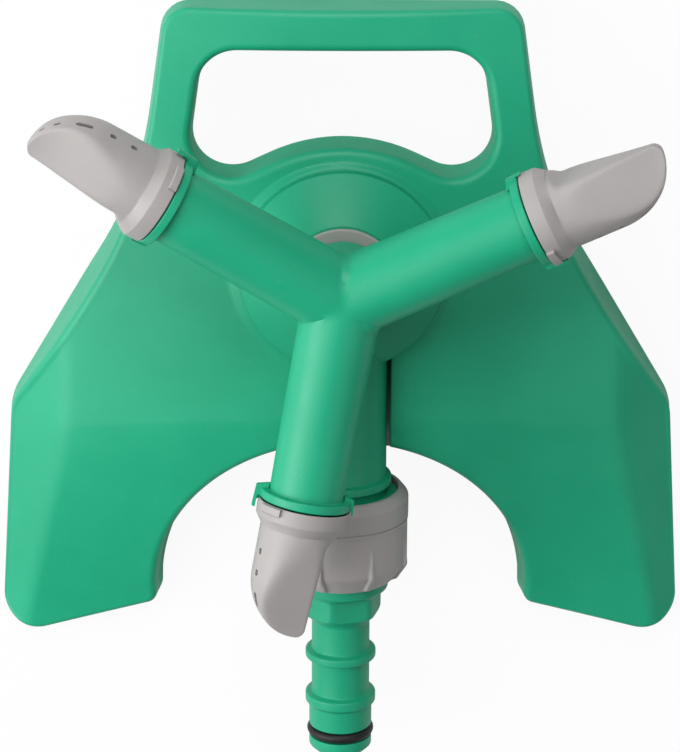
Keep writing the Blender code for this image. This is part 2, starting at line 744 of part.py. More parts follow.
def lug_points(hand):
    """A stop lug at one side of an arm's flange, reaching over the cap's collar."""
    face = FLANGE_START + FLANGE_THICKNESS
    inner = CAP_COLLAR_RADIUS + GAP
    section = [
        (FLANGE_RADIUS - 1.5, FLANGE_START - LUG_INNER_RUN),
        (LUG_RADIUS, FLANGE_START - LUG_INNER_RUN + 0.8),
        (LUG_RADIUS, face + LUG_OVERHANG),
        (inner, face + LUG_OVERHANG),
        (inner, face - 0.3),
        (FLANGE_RADIUS - 1.5, face - 0.3),
    ]
    sides = []
    for x in (-LUG_WIDTH / 2.0, LUG_WIDTH / 2.0):
        sides.append(np.array([(x, hand * radius, along) for radius, along in section]))
    points = np.concatenate(sides)
    count = len(section)
    faces = [list(range(count)), list(range(2 * count - 1, count - 1, -1))]
    faces += [[i, (i + 1) % count, count + (i + 1) % count, count + i] for i in range(count)]
    return points, faces


def rotor(material, parent):
    """Post, web and three tapered arms with end flanges and stop lugs, hollow from the stem to each spigot."""
    under = ring_top() + GAP
    post = [(0.0, under), (POST_RADIUS, under)]
    for turn in np.radians(np.arange(0.0, 90.0, 15.0)):
        out = math.cos(turn) ** (2.0 / POST_DOME_POWER)
        rise = math.sin(turn) ** (2.0 / POST_DOME_POWER)
        post.append((POST_RADIUS * out, POST_SHOULDER_Z + (POST_TOP_Z - POST_SHOULDER_Z) * rise))
    post.append((0.0, POST_TOP_Z))
    body = solid("rotor", *turned(post, SMALL_ROUND), material, parent)
    for index in range(len(ARM_AZIMUTHS)):
        arm = solid(f"arm_guide_{index + 1}", *turned(arm_profile(), SMALL_ROUND), material, parent, arm_frame(index))
        boolean(body, arm, "UNION", BRANCHED)
        for side, hand in (("a", 1.0), ("b", -1.0)):
            lug = solid(f"lug_guide_{index + 1}{side}", *lug_points(hand), material, parent, arm_frame(index))
            boolean(body, lug, "UNION", BRANCHED)
    end = FLANGE_START + FLANGE_THICKNESS + SPIGOT_TIP_LENGTH + 1.0
    bore = [(0.0, 0.0), (ARM_BORE, 0.0), (ARM_BORE, FLANGE_START - 1.5), (SPIGOT_TIP_BORE, FLANGE_START + 0.5)]
    bore += [(SPIGOT_TIP_BORE, end), (0.0, end)]
    for index in range(len(ARM_AZIMUTHS)):
        cutter = solid(f"bore_guide_{index + 1}", *turned(bore, 20), material, parent, arm_frame(index))
        boolean(body, cutter, "DIFFERENCE", BRANCHED)
    socket_top = under + STEM_INSERT
    socket = [
        (0.0, under - 1.0),
        (STEM_RADIUS + GAP, under - 1.0),
        (STEM_RADIUS + GAP, socket_top),
        (STEM_BORE, socket_top),
        (STEM_BORE, ARM_JUNCTION_Z),
        (0.0, ARM_JUNCTION_Z),
    ]
    cutter = solid("socket_guide", *turned(socket, SMALL_ROUND), material, parent)
    boolean(body, cutter, "DIFFERENCE", BRANCHED)
    return body


def cap_section(along, sides):
    """Ring of a nozzle cap at a distance along the arm.

    The section is round on the outlets' side and cut by a flat keel on the other side and by two flat cheeks,
    all blended. It is worked out as a radius about a middle that drifts towards the tip.
    """
    share = (along - CAP_KEEL_AT) / (CAP_TIP - CAP_KEEL_AT)
    keel = CAP_KEEL_START + (CAP_TIP_OFFSET - CAP_KEEL_START) * share
    middle = CAP_TIP_OFFSET * max(share, 0.0)
    run = np.clip((along - CAP_TIP + CAP_SPINE_ROUND) / CAP_SPINE_ROUND, 0.0, 1.0)
    spine = CAP_TIP_OFFSET + (CAP_RADIUS - CAP_TIP_OFFSET) * math.sqrt(1.0 - run**2)
    angle = np.linspace(0.0, 2.0 * np.pi, sides, endpoint=False)
    toward = np.cos(angle)
    across = np.sin(angle)
    reach = np.where(toward > 0.0, max(spine - middle, 1e-3), CAP_RADIUS)
    oval = 1.0 / np.sqrt((toward / reach) ** 2 + (across / CAP_RADIUS) ** 2)
    flat = max(middle - keel, 1e-3) / np.maximum(-toward, 1e-3)
    cheek = CAP_CHEEK_HEIGHT + CAP_CHEEK_LEAN * middle - CAP_CHEEK_FALL * (along - CAP_CHEEK_AT)
    lean = np.maximum(np.abs(across) - CAP_CHEEK_LEAN * toward, 1e-3)
    cheek = max(cheek, CAP_TIP_THICKNESS) / lean
    radius = (oval**-12.0 + flat**-12.0 + cheek**-12.0) ** (-1.0 / 12.0)
    return np.stack([radius * across, middle + radius * toward, np.full(sides, along)], axis=1)


def cap_ring(radius, along, sides):
    """A round ring of a cap, counted from the outlets' side as the blended sections are."""
    angle = np.linspace(0.0, 2.0 * np.pi, sides, endpoint=False)
    return np.stack([radius * np.sin(angle), radius * np.cos(angle), np.full(sides, along)], axis=1)


def nozzle_cap(number, material, parent):
    """A cap: stepped collar, blended fin and a socket with a snap groove and a water chamber."""
    sides = SMALL_ROUND
    face = FLANGE_START + FLANGE_THICKNESS
    start = face + GAP
    snap = face + SNAP_START
    bore_end = face + SPIGOT_TIP_LENGTH + GAP
    ramp_end = start + CAP_COLLAR_LENGTH + CAP_COLLAR_RAMP
    body_start = ramp_end + CAP_NECK_LENGTH
    bore = CAP_BORE
    rings = [
        cap_ring(bore, start, sides),
        cap_ring(CAP_COLLAR_RADIUS, start, sides),
        cap_ring(CAP_COLLAR_RADIUS, start + CAP_COLLAR_LENGTH, sides),
        cap_ring(CAP_RADIUS, ramp_end, sides),
        cap_ring(CAP_RADIUS, body_start - GAP, sides),
    ]
    run = np.sin(np.linspace(0.0, 0.5, 10) * np.pi)
    for along in body_start + (CAP_TIP - body_start) * run[:-1]:
        rings.append(cap_section(float(along), sides))
    rings.append(np.array([[0.0, CAP_TIP_OFFSET, CAP_TIP]]))
    chamber_tip = CAP_CHAMBER * CAP_CHAMBER_TAPER
    inner = [
        cap_ring(bore, start, sides),
        cap_ring(bore, snap - GAP, sides),
        cap_ring(SNAP_RADIUS + GAP, snap - GAP, sides),
        cap_ring(SNAP_RADIUS + GAP, snap + SNAP_LENGTH, sides),
        cap_ring(bore, snap + SNAP_LENGTH + GAP, sides),
        cap_ring(bore, bore_end, sides),
        cap_ring(CAP_CHAMBER, bore_end, sides),
        cap_ring(chamber_tip, CAP_CHAMBER_END, sides),
        np.array([[0.0, 0.0, CAP_CHAMBER_END + chamber_tip / 4.0]]),
    ]
    rings = inner[:0:-1] + rings
    points, faces = skin(rings)
    cap = solid(f"nozzle_cap_{number}", points, faces, material, parent, arm_frame(number - 1))
    boolean(cap, stop_tab(number, start, material, parent), "UNION")
    for place, outlet in enumerate(outlets(number, material, parent), 1):
        boolean(cap, outlet, "DIFFERENCE")
    return cap


def outlets(number, material, parent):
    """Cutters for a cap's row of outlets: some square to the cap, a slot and some that fan out round its end."""
    splay = Matrix.Rotation(math.radians(90.0 - OUTLET_SPLAY), 4, "Z")
    rows = [(along, 0.0, CAP_RADIUS) for along in OUTLET_PLACES]
    rows += [(OUTLET_FAN_AT, fan, CAP_TIP - OUTLET_FAN_AT) for fan in OUTLET_FANS]
    turn = np.linspace(0.0, 2.0 * np.pi, OUTLET_ROUND, endpoint=False)
    cutters = []
    for place, (along, fan, reach) in enumerate(rows):
        half = OUTLET_SLOT_LENGTH / 2.0 if place == len(OUTLET_PLACES) else OUTLET_RADIUS
        loop = np.stack([half * np.cos(turn), OUTLET_RADIUS * np.sin(turn), np.zeros(OUTLET_ROUND)], axis=1)
        rings = [loop + (0.0, 0.0, CAP_CHAMBER / 2.0), loop + (0.0, 0.0, reach + OUTLET_RADIUS)]
        points, faces = skin(rings)
        faces += [list(range(OUTLET_ROUND)), list(range(2 * OUTLET_ROUND - 1, OUTLET_ROUND - 1, -1))]
        tilt = Matrix.Rotation(math.radians(90.0 - fan), 4, "Y")
        frame = arm_frame(number - 1) @ splay @ Matrix.Translation((0.0, 0.0, along)) @ tilt
        cutters.append(solid(f"outlet_guide_{number}{place + 1}", points, faces, material, parent, frame))
    return cutters


def stop_tab(number, start, material, parent):
    """The raised tab on a cap's collar that meets the arm's lugs at both ends of the twist."""
    rings = []
    for radius in (CAP_COLLAR_RADIUS - 0.6, CAP_COLLAR_RADIUS + TAB_HEIGHT):
        angle = np.radians(TAB_START + TAB_SWEEP * np.linspace(0.0, 1.0, 5))
        for along in (start, start + TAB_LENGTH):
            rings.append(np.stack([radius * np.sin(angle), radius * np.cos(angle), np.full(5, along)], axis=1))
    rings = [rings[0], rings[1], rings[3], rings[2]]
    points = np.concatenate(rings)
    faces = []
    for a in range(4):
        b = (a + 1) % 4
        faces.extend([a * 5 + i, a * 5 + i + 1, b * 5 + i + 1, b * 5 + i] for i in range(4))
    faces.append([0, 5, 10, 15])
    faces.append([19, 14, 9, 4])
    return solid(f"tab_guide_{number}", points, faces, material, parent, arm_frame(number - 1))


def nozzle_seal(number, material, parent):
    """The ring seal between an arm's spigot and its cap."""
    middle = FLANGE_START + FLANGE_THICKNESS + NOZZLE_SEAL_START
    radius = SPIGOT_TIP_RADIUS - SEAL_SECTION + 0.25
    profile = seal_profile(radius, SEAL_SECTION - 0.15, middle)
    solid(f"nozzle_o_ring_{number}", *turned(profile, SMALL_ROUND, True), material, parent, arm_frame(number - 1))


def nut_ring(radius, along, grow):
    """Ring of the nut at a distance along the inlet; ribs stand up from it by a share of their full size."""
    angles = []
    radii = []
    pitch = 2.0 * math.pi / NUT_RIBS
    half = max(grow, 0.12) * NUT_RIB_WIDTH / 2.0 / NUT_RADIUS
    for rib in range(NUT_RIBS):
        middle = math.radians(90.0 + NUT_RIB_PHASE) + rib * pitch
        for angle, lift in ((-half, 0.0), (-half * 0.45, 1.0), (half * 0.45, 1.0), (half, 0.0)):
            angles.append(middle + angle)
            radii.append(radius + lift * NUT_RIB_HEIGHT * grow)
        for share in (0.35, 0.65):
            angles.append(middle + pitch * share)
            radii.append(radius)
    angles = np.array(angles)
    radii = np.array(radii)
    return np.stack([radii * np.cos(angles), radii * np.sin(angles), np.full(len(angles), along)], axis=1)


def hose_nut(material, parent):
    """Union nut: smooth skirt, a seam, tapered ribs and a chamfered end, with a lip that holds the nipple."""
    start, end = -NUT_Y[0], -NUT_Y[1]
    seam = -NUT_SEAM_Y
    thread = SPIGOT_RADIUS + GAP
    lip = NIPPLE_BODY_RADIUS + GAP
    outside = [
        (thread, start, 0.0),
        (NUT_RADIUS - NUT_SHOULDER * 0.75, start, 0.0),
        (NUT_RADIUS - NUT_SHOULDER * 0.25, start + NUT_SHOULDER * 0.4, 0.0),
        (NUT_RADIUS, start + NUT_SHOULDER, 0.0),
        (NUT_RADIUS, seam - 0.5, 0.0),
        (NUT_RADIUS - NUT_SEAM_DEPTH, seam, 0.0),
        (NUT_RADIUS, seam + 0.5, 0.05),
        (NUT_RADIUS, end - NUT_CHAMFER, 0.7),
        (NUT_RADIUS - NUT_CHAMFER_DEPTH, end - 0.4, 1.0),
        (NUT_RADIUS - NUT_CHAMFER_DEPTH - 0.4, end, 0.6),
        (lip, end, 0.0),
        (lip, end - NUT_LIP_LENGTH, 0.0),
        (thread, end - NUT_LIP_LENGTH, 0.0),
    ]
    rings = [nut_ring(*row) for row in outside]
    solid("hose_nut", *skin(rings, wrap=True), material, parent, pipe_frame())


def hex_ring(across_flats, along, corner_radius, sides=SMALL_ROUND):
    """A hexagonal ring with its corners turned down to a circle."""
    angle = np.linspace(0.0, 2.0 * np.pi, sides, endpoint=False)
    from_flat = (angle + np.pi / 6.0) % (np.pi / 3.0) - np.pi / 6.0
    radius = np.minimum(across_flats / 2.0 / np.cos(from_flat), corner_radius)
    return np.stack([radius * np.cos(angle), radius * np.sin(angle), np.full(sides, along)], axis=1)


def nipple_flange_start():
    """Distance along the inlet at which the nipple's flange begins."""
    return -NUT_Y[1] - NUT_LIP_LENGTH - GAP - NIPPLE_FLANGE_LENGTH


def inlet_nipple(material, parent):
    """Quick-connector plug: flange under the nut, body, hexagon, neck, two collars, seal groove and tip."""
    flange = nipple_flange_start()
    seal = -NIPPLE_SEAL_Y
    half = NIPPLE_SEAL_SECTION + GAP
    depth = NIPPLE_SEAL_RADIUS - 2.0 * NIPPLE_SEAL_SECTION - GAP
    hex_start = -NIPPLE_BODY_END_Y + 0.3
    hex_end = -NIPPLE_HEX_END_Y
    across = NIPPLE_HEX_ACROSS_FLATS
    end = -NIPPLE_END_Y

    def turn(radius, along):
        return ring(radius, along, SMALL_ROUND)

    rings = [
        turn(NIPPLE_BORE, flange),
        turn(NIPPLE_FLANGE_RADIUS, flange),
        turn(NIPPLE_FLANGE_RADIUS, flange + NIPPLE_FLANGE_LENGTH),
        turn(NIPPLE_BODY_RADIUS, flange + NIPPLE_FLANGE_LENGTH),
        turn(NIPPLE_BODY_RADIUS, -NIPPLE_BODY_END_Y - 1.2),
        hex_ring(across, hex_start, across * 0.56),
        hex_ring(across, hex_end - 1.4, across * 0.56),
        turn(NIPPLE_NECK_RADIUS + 0.6, hex_end),
        turn(NIPPLE_NECK_RADIUS, hex_end + 1.0),
    ]
    for start, stop in (NIPPLE_COLLAR_1_Y, NIPPLE_COLLAR_2_Y):
        rings.append(turn(NIPPLE_NECK_RADIUS, -start))
        rings.append(turn(NIPPLE_COLLAR_RADIUS, -start + 0.6))
        rings.append(turn(NIPPLE_COLLAR_RADIUS, -stop - 0.6))
        rings.append(turn(NIPPLE_NECK_RADIUS if start == NIPPLE_COLLAR_1_Y[0] else NIPPLE_TIP_RADIUS, -stop))
    rings += [
        turn(NIPPLE_TIP_RADIUS, -NIPPLE_TAPER_END_Y),
        turn(NIPPLE_TIP_RADIUS, seal - half),
        turn(depth, seal - half),
        turn(depth, seal + half),
        turn(NIPPLE_TIP_RADIUS, seal + half),
        turn(NIPPLE_TIP_RADIUS, end - NIPPLE_END_CHAMFER),
        turn(NIPPLE_TIP_RADIUS - NIPPLE_END_CHAMFER, end),
        turn(NIPPLE_BORE, end),
    ]
    solid("inlet_nipple", *skin(rings, wrap=True), material, parent, pipe_frame())


def inlet_seals(material, parent):
    """The nipple's ring seal and the flat washer between the spigot and the nipple."""
    middle = NIPPLE_SEAL_RADIUS - NIPPLE_SEAL_SECTION
    profile = seal_profile(middle, NIPPLE_SEAL_SECTION, -NIPPLE_SEAL_Y)
    solid("nipple_o_ring", *turned(profile, SMALL_ROUND, True), material, parent, pipe_frame())
    end = nipple_flange_start() - GAP
    start = max(end - INLET_WASHER_THICKNESS, -SPIGOT_Y[1] + GAP)
    outer = NIPPLE_FLANGE_RADIUS - GAP
    washer = [(WATERWAY_RADIUS, start), (outer, start), (outer, end), (WATERWAY_RADIUS, end)]
    solid("inlet_washer", *turned(washer, SMALL_ROUND, True), material, parent, pipe_frame())


def build():
    """Make every piece of the sprinkler."""
    clear_scene()
    green = plastic("green_plastic", (0.022, 0.43, 0.215), 0.42)
    grey = plastic("grey_plastic", (0.42, 0.38, 0.365), 0.45)
    rubber = plastic("black_rubber", (0.012, 0.012, 0.013), 0.6)
    nylon = plastic("white_nylon", (0.75, 0.74, 0.7), 0.4)
    steel = plastic("screw_steel", (0.55, 0.55, 0.56), 0.35, 1.0)
    base = frame_empty("hub_axis_on_the_ground", (0.0, ORIGIN_TO_HUB, 0.0))
    spinner = frame_empty("rotor_axis", (0.0, 0.0, 0.0), base)
    base_shell(green, base)
    water_body(green, base)
    body_screws(steel, base)
    bearing_ring(grey, base)
    hose_nut(grey, base)
    inlet_nipple(green, base)
    inlet_seals(rubber, base)
    rotor(green, spinner)
    rotor_stem(nylon, spinner)
    stem_seals(rubber, nylon, spinner)
    for number in range(1, len(ARM_AZIMUTHS) + 1):
        nozzle_cap(number, grey, spinner)
        nozzle_seal(number, rubber, spinner)


build()
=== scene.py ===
"""Looks of a three-armed rotary lawn sprinkler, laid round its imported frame.

Shapes are worked out in millimetres about the hub axis: the carry handle lies towards +Y, the hose inlet
towards -Y, +Z is up and the ground is at zero. placed() turns them into metres in the frame, whose origin
lies HUB_Y in front of the hub.
"""

import json
import math

import bmesh
import bpy
import numpy as np
from mathutils import Euler, Matrix, Vector


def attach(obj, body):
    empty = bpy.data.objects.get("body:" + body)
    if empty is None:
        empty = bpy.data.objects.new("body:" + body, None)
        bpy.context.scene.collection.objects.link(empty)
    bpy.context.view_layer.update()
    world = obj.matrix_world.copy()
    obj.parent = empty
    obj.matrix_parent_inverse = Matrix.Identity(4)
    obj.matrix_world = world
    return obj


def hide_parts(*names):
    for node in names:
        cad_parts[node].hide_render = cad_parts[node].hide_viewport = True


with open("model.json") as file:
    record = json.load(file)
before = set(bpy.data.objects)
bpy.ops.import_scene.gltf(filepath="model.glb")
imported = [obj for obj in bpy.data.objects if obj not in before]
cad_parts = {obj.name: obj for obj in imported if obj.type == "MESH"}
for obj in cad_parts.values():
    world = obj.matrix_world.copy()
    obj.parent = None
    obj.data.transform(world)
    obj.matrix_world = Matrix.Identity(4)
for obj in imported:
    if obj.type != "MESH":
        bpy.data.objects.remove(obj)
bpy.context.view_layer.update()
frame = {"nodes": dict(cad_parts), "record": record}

# Lengths are in millimetres and angles in degrees, but where metres are named
MM = 0.001
HUB_Y = 30.75
NEAR = 0.1
MIDDLE_MARGIN = 1e-3
SHARP_ANGLE = 38.0
JOIN_METRES = 2e-6
THIN_METRES = 1e-7

# Base in plan: corners of one half as x, y and corner radius
HANDLE_CORNER = (40.0, 59.8, 7.0)
HANDLE_FOOT = (46.6, 15.9, 100.0)
SHOULDER = (78.9, -37.6, 15.0)
FOOT_OUTER = (83.4, -100.0, 8.5)
FOOT_INNER = (43.6, -88.9, 4.0)
HOLE_TOP = (31.3, 49.3, 9.0)
HOLE_LOBE = (36.3, 14.9, 9.0)
HOLE_HUMP = (0.0, 32.9, 37.3)
ARCH_CENTRE_Y = -86.0
ARCH_HALF_WIDTH = 43.6
ARCH_RISE = 41.4
SLOT_HALF_WIDTH = 11.3

# Base in height
DECK_TOP = 24.8
CROWN_ACROSS = 260.0
CROWN_ALONG = 1000.0
CROWN_CENTRE_Y = -20.0
FOLD_Y = -35.6
FOLD_BOW = 4.0
LEG_RUN = 61.0
LEG_CURVE = 1.25
FOOT_TOP = 6.0
RIDGE_X = 64.5
RIDGE_Z = 17.0
FACET_SLOPE = 0.799
RIDGE_ROUND = 0.4
FOLD_ROUND = 3.0
HANDLE_RIM_Z = 12.5
RIM_RISE_START_Y = -10.0
RIM_RISE_RUN = 40.0
SHELL_WALL = 2.2
DECK_WALL = 2.4
WALL_DRAFT = 7.0
OPENING_DRAFT = 3.0
EDGE_ROUND = 1.8
EDGE_SHARE = 0.18
RIM_EDGE = 0.25
SLOT_WALL = 0.8
SLOT_EDGE = 0.4
SLOT_RIM_EDGE = 0.1
SEAT_RADIUS = 24.0
SEAT_Z = 24.9

# Inlet pipe and rotor
PIPE_Z = 21.0
ARM_AZIMUTHS = (26.0, 148.0, 259.5)
ARM_RISE = 8.0
ARM_JUNCTION_Z = 46.5
ARM_ROOT_RADIUS = 8.9
ARM_END_RADIUS = 8.3
FLANGE_START = 44.4
FLANGE_END = 46.4
FLANGE_RADIUS = 10.1
SPIGOT_RADIUS = 6.9
SPIGOT_GROOVE = 5.7
SPIGOT_BORE = 4.2
POST_RADIUS = 10.2
POST_BOTTOM = 35.7
DOME_START = 46.0
DOME_HEIGHT = 8.9
LUG_HALF_WIDTH = 0.9
LUG_FLAT_HALF_WIDTH = 0.7
LUG_SHRINK = 0.05

# Nozzle cap: distances along the arm from where the arms meet, offsets positive on the jets' side
CAP_COLLAR_START = 46.7
CAP_COLLAR_RADIUS = 10.35
CAP_BODY_START = 52.3
CAP_ROOT = 54.8
CAP_RADIUS = 8.9
CAP_TIP = 76.9
CAP_TIP_OFFSET = -3.4
CAP_SPINE_ROUND = 13.5
CAP_KEEL_AT_ROOT = -6.3
CAP_KEEL_ROUND = 1.8
CAP_KEEL_EASE = 2.6
CAP_EASE_START = 51.9
CAP_EASE_RUN = 3.0
CHEEK_START = 55.8
CHEEK_AT_START = 8.98
CHEEK_LEAN = 0.275
CHEEK_TAPER = 0.363
CHEEK_LEAST = 0.9
CHEEK_SOFT = 1.6
CAP_EDGE_POWER = 14.0
LEAST_REACH = 0.02
CAP_SOCKET = 7.2
CAP_SEAL_SEAT = 8.0
CAP_CHAMBER = 4.5
CAP_CHAMBER_END = 68.7
TAB_START = 30.0
TAB_END = 60.0

# Outlets as distance along the arm, fan angle towards the tip and half length
OUTLET_SPLAY = 26.0
OUTLET_HALF_WIDTH = 0.55
OUTLET_REACH = 15.5
OUTLETS = ((58.0, 0.0, 0.7), (63.0, 0.0, 0.7), (62.5, 42.0, 1.7), (62.5, 70.0, 0.7), (62.5, 86.0, 0.7))

# Hose nut
NUT_RADIUS = 15.8
NUT_FINS = 8
NUT_FIN_TURN = 18.0
NUT_FIN_START = 63.6
NUT_FIN_RUN = 11.6
NUT_FIN_LIMIT = 16.3

# Inlet plug and its seal
PLUG_BORE = 4.0
PLUG_FLANGE = 12.9
PLUG_BODY = 11.2
PLUG_SHOULDER = 9.85
PLUG_NECK = 6.9
PLUG_COLLAR = 8.4
PLUG_NOSE = 7.5
HEXAGON_HALF = 8.8
HEXAGON_TURN = 14.5
SEAL_RADIUS = 6.85
SEAL_CORD = 1.15
SEAL_PLACE = 115.9

# Finish of the mouldings
GLOSS_LEVEL = 0.36
GRAIN_DEPTH = 0.00012

# Floor, surround and lamps, in metres and watts
FLOOR_SIZE = 6.0
FLOOR_Z = -0.0002
FLOOR_GREY = 0.8
FLOOR_GLOW = 0.93
# Painted shadow on the floor under the keyhole: size, place and grey of the strip
SHADE_SIZE = (0.0045, 0.065)
SHADE_PLACE = (0.0118, 0.012, 0.0001)
SHADE_GREY = 0.3
SURROUND_LIGHT = 0.16
SURROUND_SEEN = 1.0
LAMP_AIM = (0.0, 0.0, 0.02)
LAMPS = (
    ("overhead_softbox", (-0.57, -0.05, 0.65), 0.65, 0.85, 4.1),
    ("side_softbox", (-0.65, 0.03, 0.36), 0.45, 0.45, 2.8),
    ("back_softbox", (-0.05, 0.6, 0.6), 0.5, 0.5, 3.8),
    ("right_softbox", (0.5, -0.15, 0.6), 0.5, 0.5, 0.6),
)

# Camera: focal length in pixels of a picture of this height, place in metres and turns in degrees
PICTURE_HEIGHT = 752.0
FOCAL_PIXELS = 2612.9
SENSOR_WIDTH = 36.0
CAMERA_PLACE = (-0.00502, 0.1991, 0.5929)
CAMERA_TURNS = (-18.8, -0.388, 0.2197)


def smooth(share):
    """Three t squared less two t cubed, clipped to the range nought to one."""
    share = np.clip(share, 0.0, 1.0)
    return share * share * (3.0 - 2.0 * share)


def placed(points):
    """Millimetres about the hub axis to metres in the frame."""
    return (np.asarray(points, dtype=float) + (0.0, HUB_Y, 0.0)) * MM


def quads(rows, columns, close_rows=False, close_columns=True, first=0):
    """Corners of the four-sided faces between neighbouring points of a grid, row by row."""
    row = np.arange(rows if close_rows else rows - 1)
    column = np.arange(columns if close_columns else columns - 1)
    row, column = np.meshgrid(row, column, indexing="ij")
    next_row = (row + 1) % rows
    next_column = (column + 1) % columns
    corners = [
        row * columns + column,
        row * columns + next_column,
        next_row * columns + next_column,
        next_row * columns + column,
    ]
    return first + np.stack(corners, axis=-1).reshape(-1, 4)


def mesh_from(name, points, faces):
    """A mesh from an array of metre points and a list of face arrays.

    Equal points are joined, and faces are turned outwards.
    """
    mesh = bpy.data.meshes.new(name)
    corners = np.concatenate([part.ravel() for part in faces])
    sizes = np.concatenate([np.full(len(part), part.shape[1]) for part in faces])
    mesh.vertices.add(len(points))
    mesh.vertices.foreach_set("co", np.asarray(points, dtype=np.float32).ravel())
    mesh.loops.add(len(corners))
    mesh.loops.foreach_set("vertex_index", corners.astype(np.int32))
    mesh.polygons.add(len(sizes))
    mesh.polygons.foreach_set("loop_start", (np.cumsum(sizes) - sizes).astype(np.int32))
    mesh.polygons.foreach_set("loop_total", sizes.astype(np.int32))
    mesh.update(calc_edges=True)
    joined = bmesh.new()
    joined.from_mesh(mesh)
    bmesh.ops.remove_doubles(joined, verts=joined.verts, dist=JOIN_METRES)
    bmesh.ops.dissolve_degenerate(joined, edges=joined.edges, dist=THIN_METRES)
    bmesh.ops.recalc_face_normals(joined, faces=joined.faces)
    joined.to_mesh(mesh)
    joined.free()
    return mesh


def body_object(name, points, faces):
    """An object at the origin that holds a mesh in the frame's metres."""
    made = bpy.data.objects.new(name, mesh_from(name, placed(points), faces))
    bpy.context.scene.collection.objects.link(made)
    return made


def finished(made, body, nodes, material):
    """Shade a piece smooth but for sharp edges, give it its finish and set it on a body for its nodes."""
    made.data.materials.clear()
    made.data.materials.append(material)
    made.data.shade_smooth()
    made.data.set_sharp_from_angle(angle=math.radians(SHARP_ANGLE))
    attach(made, body)
    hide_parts(*nodes)


def combined(made, tools, operation):
    """Join or cut a piece with others for good, and remove the others."""
    for tool in tools:
        modifier = made.modifiers.new(tool.name, "BOOLEAN")
        modifier.operation = operation
        modifier.solver = "MANIFOLD"
        modifier.object = tool
    shown = bpy.context.evaluated_depsgraph_get()
    mesh = bpy.data.meshes.new_from_object(made.evaluated_get(shown))
    made.modifiers.clear()
    made.data = mesh
    for tool in tools:
        bpy.data.objects.remove(tool, do_unlink=True)
    return made


def softened(corners, closed=True, step=12.0):
    """A line through corners of x, y and radius, where each radius is drawn as an arc of short steps."""
    places = np.array([corner[:2] for corner in corners], dtype=float)
    line = []
    for i, corner in enumerate(corners):
        end = not closed and i in (0, len(corners) - 1)
        if corner[2] == 0 or end:
            line.append(places[i])
            continue
        back = places[i - 1] - places[i]
        on = places[(i + 1) % len(places)] - places[i]
        room = 0.49 * min(np.linalg.norm(back), np.linalg.norm(on))
        back = back / np.linalg.norm(back)
        on = on / np.linalg.norm(on)
        half = math.acos(float(np.clip(back @ on, -1.0, 1.0))) / 2.0
        radius = min(corner[2], room * math.tan(half)) if corner[2] < 90.0 else corner[2]
        centre = places[i] + (back + on) / np.linalg.norm(back + on) * radius / math.sin(half)
        start = places[i] + back * radius / math.tan(half) - centre
        turn = math.copysign(math.pi - 2.0 * half, back[1] * on[0] - back[0] * on[1])
        steps = max(2, math.ceil(math.degrees(abs(turn)) / step), math.ceil(abs(turn) * radius / 3.0))
        angle = turn * np.linspace(0.0, 1.0, steps + 1)
        x = np.cos(angle) * start[0] - np.sin(angle) * start[1]
        y = np.sin(angle) * start[0] + np.cos(angle) * start[1]
        line.extend(centre + np.stack([x, y], axis=1))
    return np.array(line)


def spaced(line, counts, keys):
    """The line again, with a count of equal steps between each two of its key places."""
    travel = np.concatenate([[0.0], np.cumsum(np.linalg.norm(np.diff(line, axis=0), axis=1))])
    close = np.linspace(0.0, travel[-1], 4000)
    close = np.union1d(close, travel)
    line = np.stack([np.interp(close, travel, line[:, 0]), np.interp(close, travel, line[:, 1])], axis=1)
    travel = np.concatenate([[0.0], np.cumsum(np.linalg.norm(np.diff(line, axis=0), axis=1))])
    marks = [travel[np.argmin(np.linalg.norm(line - key, axis=1))] for key in keys]
    runs = [np.linspace(a, b, n, endpoint=False) for a, b, n in zip(marks, marks[1:], counts)]
    where = np.concatenate([*runs, [marks[-1]]])
    return np.stack([np.interp(where, travel, line[:, 0]), np.interp(where, travel, line[:, 1])], axis=1)


def turned(profile, sides):
    """Points and faces of a closed profile of radius and height pairs, turned about Z."""
    angle = np.linspace(0.0, 2.0 * np.pi, sides, endpoint=False)
    radius, height = profile[:, :1], profile[:, 1:]
    height = np.broadcast_to(height, (len(profile), sides))
    points = np.stack([radius * np.cos(angle), radius * np.sin(angle), height], axis=-1)
    return points.reshape(-1, 3), [quads(len(profile), sides, close_rows=True)]


def capped(profile, sides):
    """Points and faces of a turned piece, closed by drawing its first and last rings onto the axis."""
    rings = turned(profile, sides)[0].reshape(len(profile), sides, 3)
    rings[0, :, :2] = 0.0
    rings[-1, :, :2] = 0.0
    return rings.reshape(-1, 3), [quads(len(profile), sides)]


def along_inlet(points):
    """Turn points made about Z so that Z runs out along the inlet and Y is up."""
    return np.stack([points[:, 0], -points[:, 2], PIPE_Z + points[:, 1]], axis=1)


def along_arm(points, index):
    """Set points made about Z onto an arm: Z runs out along it, X is up and Y is the jets' side."""
    azimuth = math.radians(ARM_AZIMUTHS[index])
    rise = math.radians(ARM_RISE)
    out = np.array([math.cos(azimuth) * math.cos(rise), math.sin(azimuth) * math.cos(rise), math.sin(rise)])
    side = np.array([math.sin(azimuth), -math.cos(azimuth), 0.0])
    axes = np.stack([np.cross(side, out), side, out])
    return points @ axes + (0.0, 0.0, ARM_JUNCTION_Z)


def smooth_larger(a, b, blend):
    """The larger of two fields, with the corner between them rounded over a blend length."""
    near = np.clip(blend - np.abs(a - b), 0.0, None) / blend
    return np.maximum(a, b) + near * near * blend / 4.0


def crown_height(x, y):
    """Deck height: a double crown that falls with the square of the distance from its middle."""
    return DECK_TOP - x**2 / (2.0 * CROWN_ACROSS) - (y - CROWN_CENTRE_Y) ** 2 / (2.0 * CROWN_ALONG)


def fold_line(x):
    """Y of the fold between deck and legs: a shallow parabola."""
    return FOLD_Y - FOLD_BOW * (x / RIDGE_X) ** 2


